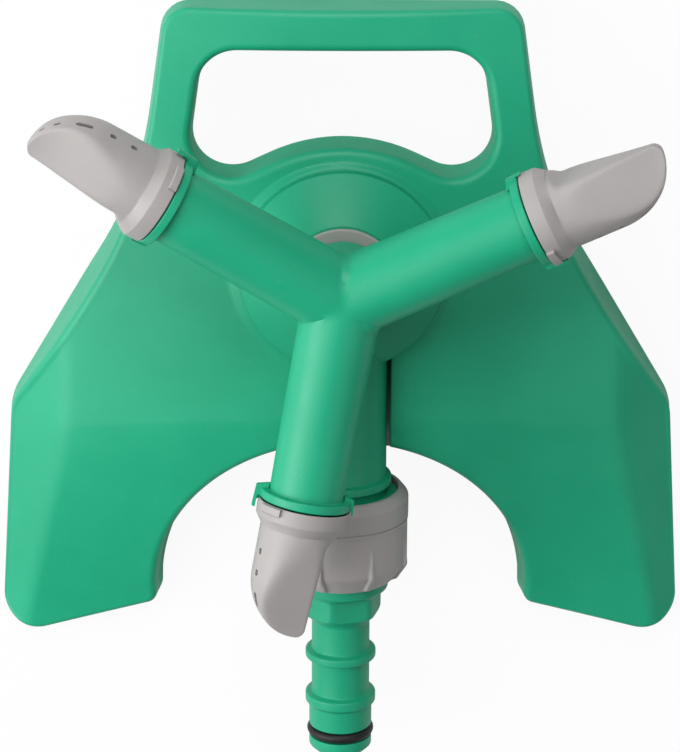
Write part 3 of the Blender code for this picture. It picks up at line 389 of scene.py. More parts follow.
def base_height(x, y):
    """Top of the base: deck eased into legs, cut by side facets with rounded ridges, raised at the seat."""
    x = np.abs(x)
    fold = fold_line(x)
    deck = crown_height(x, y)
    crease = crown_height(x, fold)
    share = np.clip((fold - y) / LEG_RUN, 0.0, None)
    leg = crease + (FOOT_TOP - crease) * share**LEG_CURVE
    soft = smooth((fold - y) / FOLD_ROUND * 0.5 + 0.5)
    top = deck + (leg - deck) * soft
    facet = RIDGE_Z - FACET_SLOPE * (x - RIDGE_X)
    top = -smooth_larger(-top, -facet, 4.0 * RIDGE_ROUND)
    seat = SEAT_Z - np.clip(np.hypot(x, y) - SEAT_RADIUS, 0.0, None)
    return np.maximum(top, seat)


def rim_height(y):
    """Lower rim of the base, lifted off the ground towards the handle by a smooth step."""
    return HANDLE_RIM_Z * smooth((y - RIM_RISE_START_Y) / RIM_RISE_RUN)


def arch_y(x):
    """Y of the arch between the legs: the upper part of an ellipse."""
    return ARCH_CENTRE_Y + ARCH_RISE * np.sqrt(np.clip(1.0 - (x / ARCH_HALF_WIDTH) ** 2, 0.0, None))


def plan_lines(across):
    """Outer, tip and inner lines of the base's right half, and the inner line's places of hump and keyhole.

    Outer and inner line have as many steps between each two of their keys, so equal places face each other.
    """
    arch = np.radians(np.arange(2.0, 74.5, 1.5))
    arch = np.stack([ARCH_HALF_WIDTH * np.cos(arch), ARCH_CENTRE_Y + ARCH_RISE * np.sin(arch)], axis=1)
    outer = [(0.0, HANDLE_CORNER[1], 0.0), HANDLE_CORNER, HANDLE_FOOT, SHOULDER, FOOT_OUTER, FOOT_INNER]
    outer = softened([*outer, (*arch[2], 0.0)], closed=False, step=3.0)
    outer_tip = np.array([80.9, -97.0])
    outer_keys = [(0.0, HANDLE_CORNER[1]), (38.0, 57.8), (43.9, 33.0), (50.0, 8.0), (59.0, -6.0)]
    outer_keys += [(61.5, -9.5), (70.0, -23.0), (79.0, -43.5), (79.4, -47.0), outer_tip]
    mouth_y = float(arch_y(SLOT_HALF_WIDTH))
    slot = np.radians(np.arange(0.0, 91.0, 6.0))
    slot = SLOT_HALF_WIDTH * np.stack([np.cos(slot), np.sin(slot)], axis=1)
    hole = [(0.0, HOLE_TOP[1], 0.0), HOLE_TOP, HOLE_LOBE, HOLE_HUMP, (-HOLE_LOBE[0], HOLE_LOBE[1], 0.0)]
    hole = softened(hole, closed=False, step=3.0)
    hole = hole[hole[:, 0] >= -1e-6]
    # The hump's height is where the hole's lower line comes nearest to the middle plane
    hump_y = float(hole[np.argmin(hole[:, 0] + 10.0 * (hole[:, 1] > 40.0)), 1])
    hole = np.concatenate([hole[hole[:, 0] > 0.05], [[0.0, hump_y]]])
    hole = np.concatenate([[[0.0, HOLE_TOP[1]]], hole])
    corner = softened([(*arch[2], 0.0), FOOT_INNER, (*FOOT_OUTER[:2], 0.0)], closed=False, step=3.0)
    inner = np.concatenate([hole, slot[::-1], [[SLOT_HALF_WIDTH, mouth_y]], arch[::-1][:-3], corner[:-1]])
    inner_tip = np.array([45.0, -88.0])
    inner_keys = [(0.0, HOLE_TOP[1]), (29.0, 46.8), (33.8, 31.9), (24.9, 21.6), (0.0, hump_y)]
    inner_keys += [(0.0, SLOT_HALF_WIDTH), (SLOT_HALF_WIDTH, 0.0), (SLOT_HALF_WIDTH, mouth_y + 5.4)]
    inner_keys += [(SLOT_HALF_WIDTH, mouth_y), inner_tip]
    counts = [28, 16, 14, 30, 28, 14, 37, 1, 64]
    tip = outer[np.argmin(np.linalg.norm(outer - outer_tip, axis=1)):]
    tip = spaced(tip, [across], [outer_tip, inner_tip])
    outer = spaced(outer, counts, outer_keys)
    inner = spaced(inner, counts, inner_keys)
    tip[0], tip[-1] = outer[-1], inner[-1]
    return outer, tip, inner, sum(counts[:4]), sum(counts[:5])


def inward(line):
    """Vectors that move a line's points to its left by one unit of wall.

    Beyond each end the line goes on as its mirror image in the middle plane. At a corner the vector is the
    sum of both sides' normals over one plus their product, so that each side moves by the whole unit.
    """
    mirror = np.array([-1.0, 1.0])
    before = mirror * (line[0] if abs(line[0][0]) > MIDDLE_MARGIN else line[1])
    after = mirror * (line[-1] if abs(line[-1][0]) > MIDDLE_MARGIN else line[-2])
    padded = np.concatenate([[before], line, [after]])
    side = np.diff(padded, axis=0)
    normal = np.stack([-side[:, 1], side[:, 0]], axis=1) / np.linalg.norm(side, axis=1)[:, None]
    first, second = normal[:-1], normal[1:]
    return (first + second) / (1.0 + np.sum(first * second, axis=1))[:, None]


def wall_rows(line, draft):
    """Rows of points down the inside of a wall, under its rim, up its outside and over its rounded edge.

    The outside leans in by the draft. The edge is a quarter turn of EDGE_ROUND, or of a share of the height
    where the wall is low, and the wall is SHELL_WALL thick. Along the keyhole round the inlet pipe the wall is
    upright, sharper and only as deep as the deck. Where the keyhole meets the arch a point moves by both
    distances, each square to its own line.
    """
    move = inward(line)
    x, y = line.T
    slot = (np.abs(x) < SLOT_HALF_WIDTH + NEAR) & (y < SLOT_HALF_WIDTH + NEAR)
    mouth = slot & (y < arch_y(SLOT_HALF_WIDTH) + NEAR)
    slope = ARCH_RISE**2 * SLOT_HALF_WIDTH / ARCH_HALF_WIDTH**2 / (arch_y(SLOT_HALF_WIDTH) - ARCH_CENTRE_Y)
    slot_move = np.where(mouth[:, None], [1.0, -slope], move) * slot[:, None]
    wall_move = np.where(mouth[:, None], [0.0, math.hypot(1.0, slope)], move * ~slot[:, None])
    slot = slot & ~mouth
    lean = math.tan(math.radians(draft))
    top = base_height(x, y)
    rim = np.where(slot, top - DECK_WALL, rim_height(y))
    edge = np.minimum(EDGE_ROUND, EDGE_SHARE * (top - rim))
    inset = lean * (top - rim)

    def plan(wall, sharp):
        wall = np.broadcast_to(wall, len(line))[:, None]
        sharp = np.broadcast_to(sharp, len(line))[:, None]
        return line + wall_move * wall + slot_move * sharp

    def level(share):
        return np.where(slot, top - SLOT_EDGE, top - edge) * share + rim * (1.0 - share)

    under_plan = plan(inset + SHELL_WALL, SLOT_WALL)
    rows = [np.column_stack([under_plan, base_height(*under_plan.T) - DECK_WALL])]
    rows.append(np.column_stack([plan(SHELL_WALL, SLOT_WALL), rim]))
    rows.append(np.column_stack([plan(RIM_EDGE, SLOT_RIM_EDGE), rim]))
    rows.append(np.column_stack([plan(lean * RIM_EDGE, 0.0), rim + RIM_EDGE]))
    for share in (0.25, 0.5, 0.75):
        rows.append(np.column_stack([plan(lean * (level(share) - rim), 0.0), level(share)]))
    over = base_height(*plan(inset + edge, SLOT_EDGE).T)
    for angle in np.radians(np.arange(0.0, 91.0, 15.0)):
        turn = 1.0 - math.cos(angle)
        wall = inset - lean * edge + (edge + lean * edge) * turn
        drop = np.where(slot, SLOT_EDGE, edge) * (1.0 - math.sin(angle))
        rows.append(np.column_stack([plan(wall, SLOT_EDGE * turn), over - drop]))
    return np.array(rows)


def base_shell():
    """Thin moulded shell: a ribbon grid over the deck and one under it, joined by walls round the plan lines.

    Across the ribbon a point slides on the straight line from the inner to the outer edge. Near the tips of
    the feet the straight lines bend to meet the tip line. The right half is mirrored to make the left.
    """
    across = 68
    outer, tip, inner, hump, slot_top = plan_lines(across)
    count = len(outer)
    outline = np.concatenate([outer, tip[1:-1], inner[slot_top:][::-1]])[::-1]
    outer_rows = wall_rows(outline, WALL_DRAFT)[:, ::-1]
    hole_rows = wall_rows(inner[: hump + 1], OPENING_DRAFT)
    points = [outer_rows.reshape(-1, 3), hole_rows.reshape(-1, 3)]
    faces = [quads(len(outer_rows), len(outline), close_columns=False)]
    faces.append(quads(len(hole_rows), hump + 1, close_columns=False, first=outer_rows[..., 0].size))
    used = outer_rows[..., 0].size + hole_rows[..., 0].size
    for row, drop in ((-1, 0.0), (0, DECK_WALL)):
        edge_outer = outer_rows[row, :count]
        edge_tip = outer_rows[row, count - 1 : count + across]
        edge_inner = outer_rows[row, count + across - 1 :][::-1]
        centre = np.linspace(hole_rows[row, -1], edge_inner[0], slot_top - hump + 1)
        centre[:, 2] = base_height(centre[:, 0], centre[:, 1]) - drop
        edge_inner = np.concatenate([hole_rows[row], centre[1:-1], edge_inner])
        share = np.linspace(1.0, 0.0, across + 1)[None, :, None]
        plan = edge_inner[:, None, :2] * (1.0 - share) + edge_outer[:, None, :2] * share
        straight = edge_inner[-1, :2] * (1.0 - share[0]) + edge_outer[-1, :2] * share[0]
        bend = np.clip(np.arange(count) / (count - 1.0) * 6.0 - 5.0, 0.0, 1.0)[:, None, None] ** 2
        plan = plan + bend * (edge_tip[:, :2] - straight)
        height = base_height(plan[..., 0], plan[..., 1]) - drop
        grid = np.concatenate([plan, height[..., None]], axis=-1)
        grid[:, 0], grid[:, -1], grid[-1] = edge_outer, edge_inner, edge_tip
        points.append(grid.reshape(-1, 3))
        faces.append(quads(count, across + 1, close_columns=False, first=used))
        used += grid[..., 0].size
    points = np.concatenate(points)
    mirrored = points * (-1.0, 1.0, 1.0)
    faces += [part[:, ::-1] + used for part in faces]
    return body_object("sprinkler_base", np.concatenate([points, mirrored]), faces)


def cone_and_pipe():
    """Turned cone boss with the bearing's seat, joined with the turned inlet pipe, its collar and its spigot.

    The pipe is open from its mouth to the cone.
    """
    cone = [(0.5, 10.9, 0), (8.1, 10.9, 1.0), (10.1, 12.9, 1.0), (10.1, 25.2, 0), (23.3, 25.2, 0.3)]
    cone += [(23.3, 26.3, 0.5), (13.6, 33.5, 0.7), (13.1, 33.9, 0.3), (11.2, 33.9, 0.3), (11.0, 33.5, 0)]
    cone += [(11.0, 26.3, 0), (7.0, 26.3, 0), (7.0, 22.0, 0), (0.5, 22.0, 0)]
    body = body_object("sprinkler_water_body", *capped(softened(cone), 128))
    pipe = [(0.5, 3.0, 0), (10.5, 3.0, 0.3), (10.5, 50.0, 0.2), (11.7, 50.4, 0.3), (11.7, 52.2, 0.3)]
    pipe += [(10.5, 52.5, 0.1), (10.5, 54.6, 0), (13.1, 54.6, 0.2), (13.1, 64.6, 0.6), (8.0, 64.6, 0.4)]
    pipe += [(8.0, 9.0, 0), (0.5, 9.0, 0)]
    points, faces = capped(softened(pipe), 96)
    branch = body_object("inlet_branch", along_inlet(points), faces)
    return combined(body, [branch], "UNION")


def bearing_ring():
    """Turned grey bush that shows as a bright ring round the rotor's post."""
    profile = [(12.7, 34.2, 0.15), (12.7, 35.4, 0.35), (8.3, 35.4, 0.3), (8.3, 29.5, 0)]
    profile += [(10.7, 29.5, 0), (10.7, 34.2, 0)]
    points, faces = turned(softened(profile), 96)
    return body_object("sprinkler_bearing_ring", points, faces)


def rotor():
    """Three tapered arms mitred together, each with its flange, lugs and spigot, joined with a domed post.

    A line along an arm starts in the upright plane halfway to its neighbour on that side, which is turned
    from the arm by half the angle between them: at (|side| / tan half + up sin rise) / cos rise. Beyond that
    the arm is a turned profile, closed inside its spigot. The post's dome is a superellipse of power three.
    """
    sides = 96
    around = np.linspace(0.0, 2.0 * np.pi, sides, endpoint=False)
    rise = math.radians(ARM_RISE)
    taper = (ARM_END_RADIUS - ARM_ROOT_RADIUS) / FLANGE_START
    end = [(ARM_END_RADIUS, FLANGE_START - 0.5, 0), (ARM_END_RADIUS, FLANGE_START, 0.4)]
    end += [(FLANGE_RADIUS, FLANGE_START, 0.35), (FLANGE_RADIUS, FLANGE_END, 0.35)]
    end += [(SPIGOT_RADIUS, FLANGE_END, 0), (SPIGOT_RADIUS, 47.45, 0), (SPIGOT_GROOVE, 47.45, 0)]
    end += [(SPIGOT_GROOVE, 49.55, 0), (SPIGOT_RADIUS, 49.55, 0), (SPIGOT_RADIUS, 50.4, 0)]
    end += [(7.7, 50.4, 0.1), (SPIGOT_RADIUS, 51.6, 0)]
    end += [(6.4, 52.2, 0), (SPIGOT_BORE, 52.2, 0), (SPIGOT_BORE, 46.0, 0), (SPIGOT_BORE, 46.0, 0)]
    end = softened(end, closed=False)[1:]
    points = []
    for index in range(3):
        left = (ARM_AZIMUTHS[(index + 1) % 3] - ARM_AZIMUTHS[index]) % 360.0 / 2.0
        right = (ARM_AZIMUTHS[index] - ARM_AZIMUTHS[index - 1]) % 360.0 / 2.0
        half = np.radians(np.where(np.sin(around) > 0.0, right, left))
        start = np.zeros(sides)
        for _ in range(6):
            radius = ARM_ROOT_RADIUS + taper * start
            start = np.abs(radius * np.sin(around)) / np.tan(half) + radius * np.cos(around) * math.sin(rise)
            start = start / math.cos(rise)
        share = np.linspace(0.0, 1.0, 25)[:, None]
        length = start + (FLANGE_START - 0.5 - start) * share
        radius = ARM_ROOT_RADIUS + taper * length
        length = np.concatenate([length, np.broadcast_to(end[:, 1:], (len(end), sides))])
        radius = np.concatenate([radius, np.broadcast_to(end[:, :1], (len(end), sides))])
        radius[-1] = 0.0
        arm = np.stack([radius * np.cos(around), radius * np.sin(around), length], axis=-1).reshape(-1, 3)
        points.append(along_arm(arm, index))
    faces = [quads(len(length), sides, first=index * len(arm)) for index in range(3)]
    body = body_object("sprinkler_rotor", np.concatenate(points), faces)
    turn = np.radians(np.arange(0.0, 90.0, 5.0))
    reach, height = np.cos(turn) ** (2.0 / 3.0), np.sin(turn) ** (2.0 / 3.0)
    dome = np.stack([POST_RADIUS * reach, DOME_START + DOME_HEIGHT * height], axis=1)
    foot = [(0.5, POST_BOTTOM), (POST_RADIUS - 0.2, POST_BOTTOM), (POST_RADIUS, POST_BOTTOM + 0.2)]
    post = np.concatenate([foot, dome, [(0.5, DOME_START + DOME_HEIGHT)]])
    points, faces = capped(post, 96)
    tools = [body_object("rotor_post", points, faces)]
    for index in range(3):
        for hand in (1.0, -1.0):
            tools.append(body_object(f"lug_{index}_{hand:g}", *stop_lug(index, hand)))
    return combined(body, tools, "UNION")


def stop_lug(index, hand):
    """A stop lug: a softened outline of reach and length, drawn out to the lug's width.

    It is a little smaller at its faces, and the lug away from the jets is shorter.
    """
    half, flat = LUG_HALF_WIDTH, LUG_FLAT_HALF_WIDTH
    if hand > 0.0:
        outline = [(8.4, 43.2, 0), (11.3, 43.9, 0.4), (11.6, 48.9, 0.3), (10.8, 49.0, 0.2)]
        outline += [(10.8, 46.1, 0), (8.4, 46.1, 0)]
    else:
        outline = [(8.4, 43.2, 0), (10.7, 43.9, 0.4), (11.0, 47.4, 0.15), (10.7, 47.5, 0.1)]
        outline += [(10.6, 46.1, 0), (8.4, 46.1, 0)]
    outline = softened(outline)
    middle = outline.mean(axis=0)
    rows = []
    for place, shrink in ((-half, LUG_SHRINK), (-flat, 0.0), (flat, 0.0), (half, LUG_SHRINK)):
        ring = middle + (outline - middle) * (1.0 - shrink)
        rows.append(np.column_stack([np.full(len(ring), place), hand * ring[:, 0], ring[:, 1]]))
    rows = [np.repeat(rows[0].mean(axis=0)[None], len(outline), axis=0)] + rows
    rows.append(np.repeat(rows[-1].mean(axis=0)[None], len(outline), axis=0))
    return along_arm(np.concatenate(rows), index), [quads(len(rows), len(outline))]


def cap_rings(along, sides):
    """Rings of a nozzle cap's body at distances along the arm.

    A section is an oval about a middle that drifts to the tip's offset. It is round on the jets' side, where
    its reach falls along a quarter ellipse. Opposite it is cut by a keel, which is flat but for a quarter
    circle at the tip, and above and below by a flat cheek. The three distances are joined as a root of the sum
    of their powers, with minus CAP_EDGE_POWER as the power, which rounds the edges between them.
    """
    along = np.asarray(along, dtype=float)[:, None]
    share = (along - CAP_ROOT) / (CAP_TIP - CAP_ROOT)
    ease = CAP_KEEL_EASE * (1.0 - smooth((along - CAP_EASE_START) / CAP_EASE_RUN))
    keel = CAP_KEEL_AT_ROOT + (CAP_TIP_OFFSET - CAP_KEEL_ROUND - CAP_KEEL_AT_ROOT) * share - ease
    last = np.clip(along - CAP_TIP + CAP_KEEL_ROUND, 0.0, CAP_KEEL_ROUND)
    keel = keel + CAP_KEEL_ROUND - np.sqrt(CAP_KEEL_ROUND**2 - last**2)
    middle = CAP_TIP_OFFSET * np.clip(share, 0.0, None)
    run = np.clip((along - CAP_TIP + CAP_SPINE_ROUND) / CAP_SPINE_ROUND, 0.0, 1.0)
    spine = CAP_TIP_OFFSET + (CAP_RADIUS - CAP_TIP_OFFSET) * np.sqrt(1.0 - run**2)
    angle = np.linspace(0.0, 2.0 * np.pi, sides, endpoint=False)
    toward, across = np.cos(angle), np.sin(angle)
    reach = np.where(toward > 0.0, np.clip(spine - middle, LEAST_REACH, None), CAP_RADIUS)
    oval = 1.0 / np.sqrt((toward / reach) ** 2 + (across / CAP_RADIUS) ** 2)
    flat = np.clip(middle - keel, LEAST_REACH, None) / np.clip(-toward, 1e-3, None)
    cheek = CHEEK_AT_START + CHEEK_LEAN * middle - CHEEK_TAPER * (along - CHEEK_START) - CHEEK_LEAST
    cheek = CHEEK_LEAST + (cheek + np.hypot(cheek, CHEEK_SOFT)) / 2.0
    cheek = cheek / np.clip(np.abs(across) - CHEEK_LEAN * toward, 1e-3, None)
    power = -CAP_EDGE_POWER
    radius = (oval**power + flat**power + cheek**power) ** (1.0 / power)
    up, side = radius * across, middle + radius * toward
    return np.stack([up, side, np.broadcast_to(along, radius.shape)], axis=-1)


def outlet(index, place):
    """Cutter for one outlet: a squarish loop drawn out from the chamber's middle at the outlet's fan angle.

    A point of the loop is the cosine and sine of its turn, each to the power of a half with its sign kept.
    """
    along, fan, half = OUTLETS[place]
    turn = np.linspace(0.0, 2.0 * np.pi, 32, endpoint=False)
    loop_x = half * np.sign(np.cos(turn)) * np.abs(np.cos(turn)) ** 0.5
    loop_y = OUTLET_HALF_WIDTH * np.sign(np.sin(turn)) * np.abs(np.sin(turn)) ** 0.5
    fan, splay = math.radians(fan), math.radians(90.0 - OUTLET_SPLAY)
    rows = []
    for size, reach in ((0.0, 1.0), (1.0, 1.0), (1.0, OUTLET_REACH), (0.0, OUTLET_REACH)):
        out = reach * math.cos(fan) - size * loop_x * math.sin(fan)
        on = along + reach * math.sin(fan) + size * loop_x * math.cos(fan)
        side = size * loop_y
        up = out * math.cos(splay) - side * math.sin(splay)
        rows.append(np.stack([up, out * math.sin(splay) + side * math.cos(splay), on], axis=-1))
    return body_object(f"outlet_{place}", along_arm(np.concatenate(rows), index), [quads(4, 32)])


def stop_tab(index):
    """The raised tab on a cap's collar: an arc of thirty degrees with its outer corners taken off."""
    tab = []
    for radius, low, high in ((9.8, 46.7, 48.5), (11.05, 46.75, 48.45), (11.2, 46.9, 48.3)):
        angle = np.radians(np.linspace(TAB_START, TAB_END, 9))
        for along in (low, high):
            tab.append(np.stack([radius * np.sin(angle), radius * np.cos(angle), np.full(9, along)], axis=-1))
    tab = np.array([tab[0], tab[2], tab[4], tab[5], tab[3], tab[1]])
    ends = np.stack([np.repeat(tab[:, side].mean(axis=0)[None], 6, axis=0) for side in (0, -1)], axis=1)
    tab = np.concatenate([ends[:, :1], tab, ends[:, 1:]], axis=1)
    faces = [quads(6, 11, close_rows=True, close_columns=False)]
    return body_object("stop_tab", along_arm(tab.reshape(-1, 3), index), faces)


def nozzle_cap(index):
    """Cap: stepped collar, blended fin, socket and water chamber, with a stop tab and a row of outlets."""
    sides = 160
    around = np.linspace(0.0, 2.0 * np.pi, sides, endpoint=False)

    def ring(radius, along):
        across, up = radius * np.cos(around), radius * np.sin(around)
        return np.stack([up, across, np.full(sides, along)], axis=-1)[None]

    collar = [(CAP_SOCKET, CAP_COLLAR_START, 0), (CAP_COLLAR_RADIUS, CAP_COLLAR_START, 0.3)]
    collar += [(CAP_COLLAR_RADIUS, 50.0, 0.5), (CAP_RADIUS, 52.2, 0)]
    rings = [ring(radius, along) for radius, along in softened(collar, closed=False)[1:]]
    run = np.sin(np.linspace(0.0, 0.5, 72) * np.pi)
    rings.append(cap_rings(CAP_BODY_START + (CAP_TIP - CAP_BODY_START) * run[:-1], sides))
    rings.append(np.broadcast_to([0.0, CAP_TIP_OFFSET, CAP_TIP], (1, sides, 3)))
    rings.append(np.broadcast_to([0.0, 0.0, CAP_CHAMBER_END], (1, sides, 3)))
    inside = [(2.7, 68.0), (CAP_CHAMBER, 52.5), (CAP_SOCKET, 52.5), (CAP_SOCKET, 51.9)]
    inside += [(CAP_SEAL_SEAT, 51.6), (CAP_SEAL_SEAT, 50.1), (CAP_SOCKET, 50.1)]
    rings += [ring(radius, along) for radius, along in inside]
    rings = np.concatenate(rings)
    hollow = len(inside) + 1
    outside = len(rings) - hollow
    points = along_arm(rings.reshape(-1, 3), index)
    faces = [quads(outside, sides), quads(hollow, sides, first=outside * sides)]
    joint = np.arange(sides)
    socket = np.stack([joint, (joint + 1) % sides], axis=1)
    last = (len(rings) - 1) * sides
    faces.append(np.concatenate([last + socket, socket[:, ::-1]], axis=1))
    body = body_object(f"sprinkler_nozzle_cap_{index + 1}", points, faces)
    body = combined(body, [stop_tab(index)], "UNION")
    return combined(body, [outlet(index, place) for place in range(len(OUTLETS))], "DIFFERENCE")


def hose_nut():
    """Union nut: a turned skirt with a seam and a chamfered mouth, raised along fins that widen to the mouth.

    A point is lifted by a smooth step of the fin's half width less its own distance from the fin's line.
    """
    sides = 320
    around = np.linspace(0.0, 2.0 * np.pi, sides, endpoint=False)
    profile = [(13.4, 53.3, 0), (14.2, 53.3, 0.5), (NUT_RADIUS, 55.3, 1.2), (NUT_RADIUS, 60.0, 0.15)]
    profile += [(15.4, 60.2, 0), (15.4, 60.4, 0), (15.75, 60.6, 0.2), (15.6, 71.4, 1.8), (12.9, 75.1, 0.5)]
    profile += [(12.6, 75.6, 0.2), (11.5, 75.6, 0.2), (11.5, 70.2, 0), (13.4, 70.2, 0)]
    line = softened(profile, step=18.0)
    fine = np.linspace(61.2, 75.0, 30)
    outer = (line[:, 0] > 12.4) & (line[:, 1] > 60.9) & (line[:, 1] < 75.3)
    outer = outer & (line[:, 0] > 13.45 - (line[:, 1] > 71.0))
    where = np.flatnonzero(outer)
    radius_at = np.interp(fine, line[where, 1], line[where, 0])
    line = np.concatenate([line[: where[0]], np.stack([radius_at, fine], axis=1), line[where[-1] + 1 :]])
    radius, along = line[:, :1], line[:, 1:]
    pitch = 360.0 / NUT_FINS
    from_fin = np.degrees(around) - 90.0 - NUT_FIN_TURN
    from_fin = np.abs((from_fin + pitch / 2.0) % pitch - pitch / 2.0) * math.pi / 180.0 * NUT_RADIUS
    grow = np.clip((along - NUT_FIN_START) / NUT_FIN_RUN, 0.0, 1.0)
    half = 0.05 + 0.9 * grow
    lift = smooth((half - from_fin) / 0.6 + 0.5) * (along > 63.5) * (along < 75.3) * (radius > 12.3)
    radius = np.clip(radius + (0.1 + 0.9 * grow) * lift, None, NUT_FIN_LIMIT)
    along = np.broadcast_to(along, radius.shape)
    points = np.stack([radius * np.cos(around), radius * np.sin(around), along], axis=-1)
    faces = [quads(len(line), sides, close_rows=True)]
    return body_object("sprinkler_hose_nut", along_inlet(points.reshape(-1, 3)), faces)


def inlet_nipple():
    """Quick-connector plug: a turned profile whose shoulder is cut to a hexagon with softened corners.

    A side of the hexagon lies at its half width over the cosine of the angle from the side's middle.
    """
    sides = 144
    around = np.linspace(0.0, 2.0 * np.pi, sides, endpoint=False)
    profile = [(PLUG_BORE, 67.4, 0.2), (PLUG_FLANGE, 67.4, 0.3), (PLUG_FLANGE, 69.9, 0.3)]
    profile += [(PLUG_BODY, 69.9, 0), (PLUG_BODY, 78.2, 0.9), (PLUG_SHOULDER, 79.8, 0.6)]
    profile += [(PLUG_SHOULDER, 84.6, 0.9), (7.5, 86.3, 0.6), (PLUG_NECK, 87.3, 0.8), (PLUG_NECK, 94.4, 0.4)]
    profile += [(PLUG_COLLAR, 94.9, 0.5), (PLUG_COLLAR, 96.7, 0.5), (PLUG_NECK, 97.2, 0.4)]
    profile += [(PLUG_NECK, 105.6, 0.4), (PLUG_COLLAR, 106.1, 0.5), (PLUG_COLLAR, 108.2, 0.5)]
    profile += [(PLUG_NOSE, 109.0, 0.3), (PLUG_NOSE, 114.45, 0.2), (5.4, 114.45, 0.2), (5.4, 117.35, 0.2)]
    profile += [(PLUG_NOSE, 117.35, 0.2), (PLUG_NOSE, 119.7, 0.6), (5.9, 121.3, 0.7), (PLUG_BORE, 121.3, 0.3)]
    line = softened(profile)
    cut = np.stack([np.full(16, PLUG_SHOULDER), np.linspace(80.3, 83.8, 16)], axis=1)
    place = np.flatnonzero((np.abs(line[:, 0] - PLUG_SHOULDER) < 0.02) & (line[:, 1] > 79.3))
    line = np.concatenate([line[: place[0] + 1], cut, line[place[-1] :]])
    radius, along = line[:, :1], line[:, 1:]
    from_flat = (around + math.radians(HEXAGON_TURN)) % (np.pi / 3.0) - np.pi / 6.0
    hexagon = HEXAGON_HALF / np.cos(from_flat)
    at_hex = (along > 78.8) & (along < 86.8) & (radius > 7.0)
    radius = np.where(at_hex, -smooth_larger(-hexagon, -radius, 0.5), radius)
    along = np.broadcast_to(along, radius.shape)
    points = np.stack([radius * np.cos(around), radius * np.sin(around), along], axis=-1)
    faces = [quads(len(line), sides, close_rows=True)]
    return body_object("sprinkler_inlet_plug", along_inlet(points.reshape(-1, 3)), faces)


def seal_ring():
    """Round rubber seal in the plug's groove."""
    turn = np.linspace(0.0, 2.0 * np.pi, 24, endpoint=False)
    radius, along = SEAL_RADIUS + SEAL_CORD * np.cos(turn), SEAL_PLACE + SEAL_CORD * np.sin(turn)
    points, faces = turned(np.stack([radius, along], axis=1), 96)
    return body_object("sprinkler_plug_seal", along_inlet(points), faces)


def node(tree, kind, **inputs):
    """Add a shader node and set or link its inputs; a value that is a socket is linked."""
    made = tree.nodes.new(kind)
    for name, value in inputs.items():
        if hasattr(made, name) and not isinstance(value, bpy.types.NodeSocket):
            setattr(made, name, value)
            continue
        socket = made.inputs[name.replace("_", " ")]
        if isinstance(value, bpy.types.NodeSocket):
            tree.links.new(value, socket)
        else:
            socket.default_value = value
    return made


def noise(tree, place, scale, detail, roughness=0.5):
    """Factor of a noise texture at a place."""
    made = node(tree, "ShaderNodeTexNoise", Vector=place, Scale=scale, Detail=detail, Roughness=roughness)
    return made.outputs["Fac"]


def ranged(tree, value, low, high, start=0.0, end=1.0):
    """A value from the range start to end taken to the range low to high."""
    ends = {"From_Min": start, "From_Max": end, "To_Min": low, "To_Max": high}
    return node(tree, "ShaderNodeMapRange", Value=value, **ends).outputs[0]


def moulded(name, colour, light, dark, roughness, spots=0.3):
    """Moulded plastic: cloudy colour, faint ripples and pale scuffs, uneven gloss and a fine pitted skin."""
    material = bpy.data.materials.new(name)
    material.use_nodes = True
    tree = material.node_tree
    shader = tree.nodes["Principled BSDF"]
    shader.inputs["Specular IOR Level"].default_value = GLOSS_LEVEL
    place = node(tree, "ShaderNodeTexCoord").outputs["Object"]
    tint = node(tree, "ShaderNodeValToRGB", Fac=noise(tree, place, scale=38.0, detail=4.0, roughness=0.55))
    stops = tint.color_ramp.elements
    stops[0].position = 0.3
    stops[0].color = (*dark, 1.0)
    stops[1].position = 0.7
    stops[1].color = (*light, 1.0)
    middle = stops.new(0.5)
    middle.color = (*colour, 1.0)
    fine = noise(tree, place, scale=900.0, detail=6.0, roughness=0.7)
    specks = ranged(tree, fine, 0.0, spots, start=0.62, end=0.74)
    scuffed = node(tree, "ShaderNodeMix", data_type="RGBA")
    tree.links.new(specks, scuffed.inputs[0])
    tree.links.new(tint.outputs["Color"], scuffed.inputs[6])
    scuffed.inputs[7].default_value = (*[0.5 * c + 0.5 * max(light) for c in light], 1.0)
    tree.links.new(scuffed.outputs[2], shader.inputs["Base Color"])
    gloss = noise(tree, place, scale=120.0, detail=5.0, roughness=0.6)
    tree.links.new(ranged(tree, gloss, roughness - 0.07, roughness + 0.09), shader.inputs["Roughness"])
    skin = noise(tree, place, scale=2200.0, detail=3.0, roughness=0.6)
    ripple = noise(tree, place, scale=160.0, detail=2.0)
    both = node(tree, "ShaderNodeMath", operation="MULTIPLY_ADD")
    tree.links.new(ripple, both.inputs[0])
    both.inputs[1].default_value = 0.8
    tree.links.new(skin, both.inputs[2])
    bump = node(tree, "ShaderNodeBump", Strength=0.25, Distance=GRAIN_DEPTH, Height=both.outputs[0])
    tree.links.new(bump.outputs["Normal"], shader.inputs["Normal"])
    return material


def plated():
    """Zinc-plated screw steel with fine brushed roughness."""
    material = bpy.data.materials.new("screw_steel_plated")
    material.use_nodes = True
    tree = material.node_tree
    shader = tree.nodes["Principled BSDF"]
    shader.inputs["Metallic"].default_value = 1.0
    place = node(tree, "ShaderNodeTexCoord").outputs["Object"]
    grain = noise(tree, place, scale=700.0, detail=4.0)
    tone = node(tree, "ShaderNodeValToRGB", Fac=grain)
    tone.color_ramp.elements[0].color = (0.42, 0.42, 0.44, 1.0)
    tone.color_ramp.elements[1].color = (0.66, 0.66, 0.67, 1.0)
    tree.links.new(tone.outputs["Color"], shader.inputs["Base Color"])
    tree.links.new(ranged(tree, grain, 0.25, 0.45), shader.inputs["Roughness"])
    return material


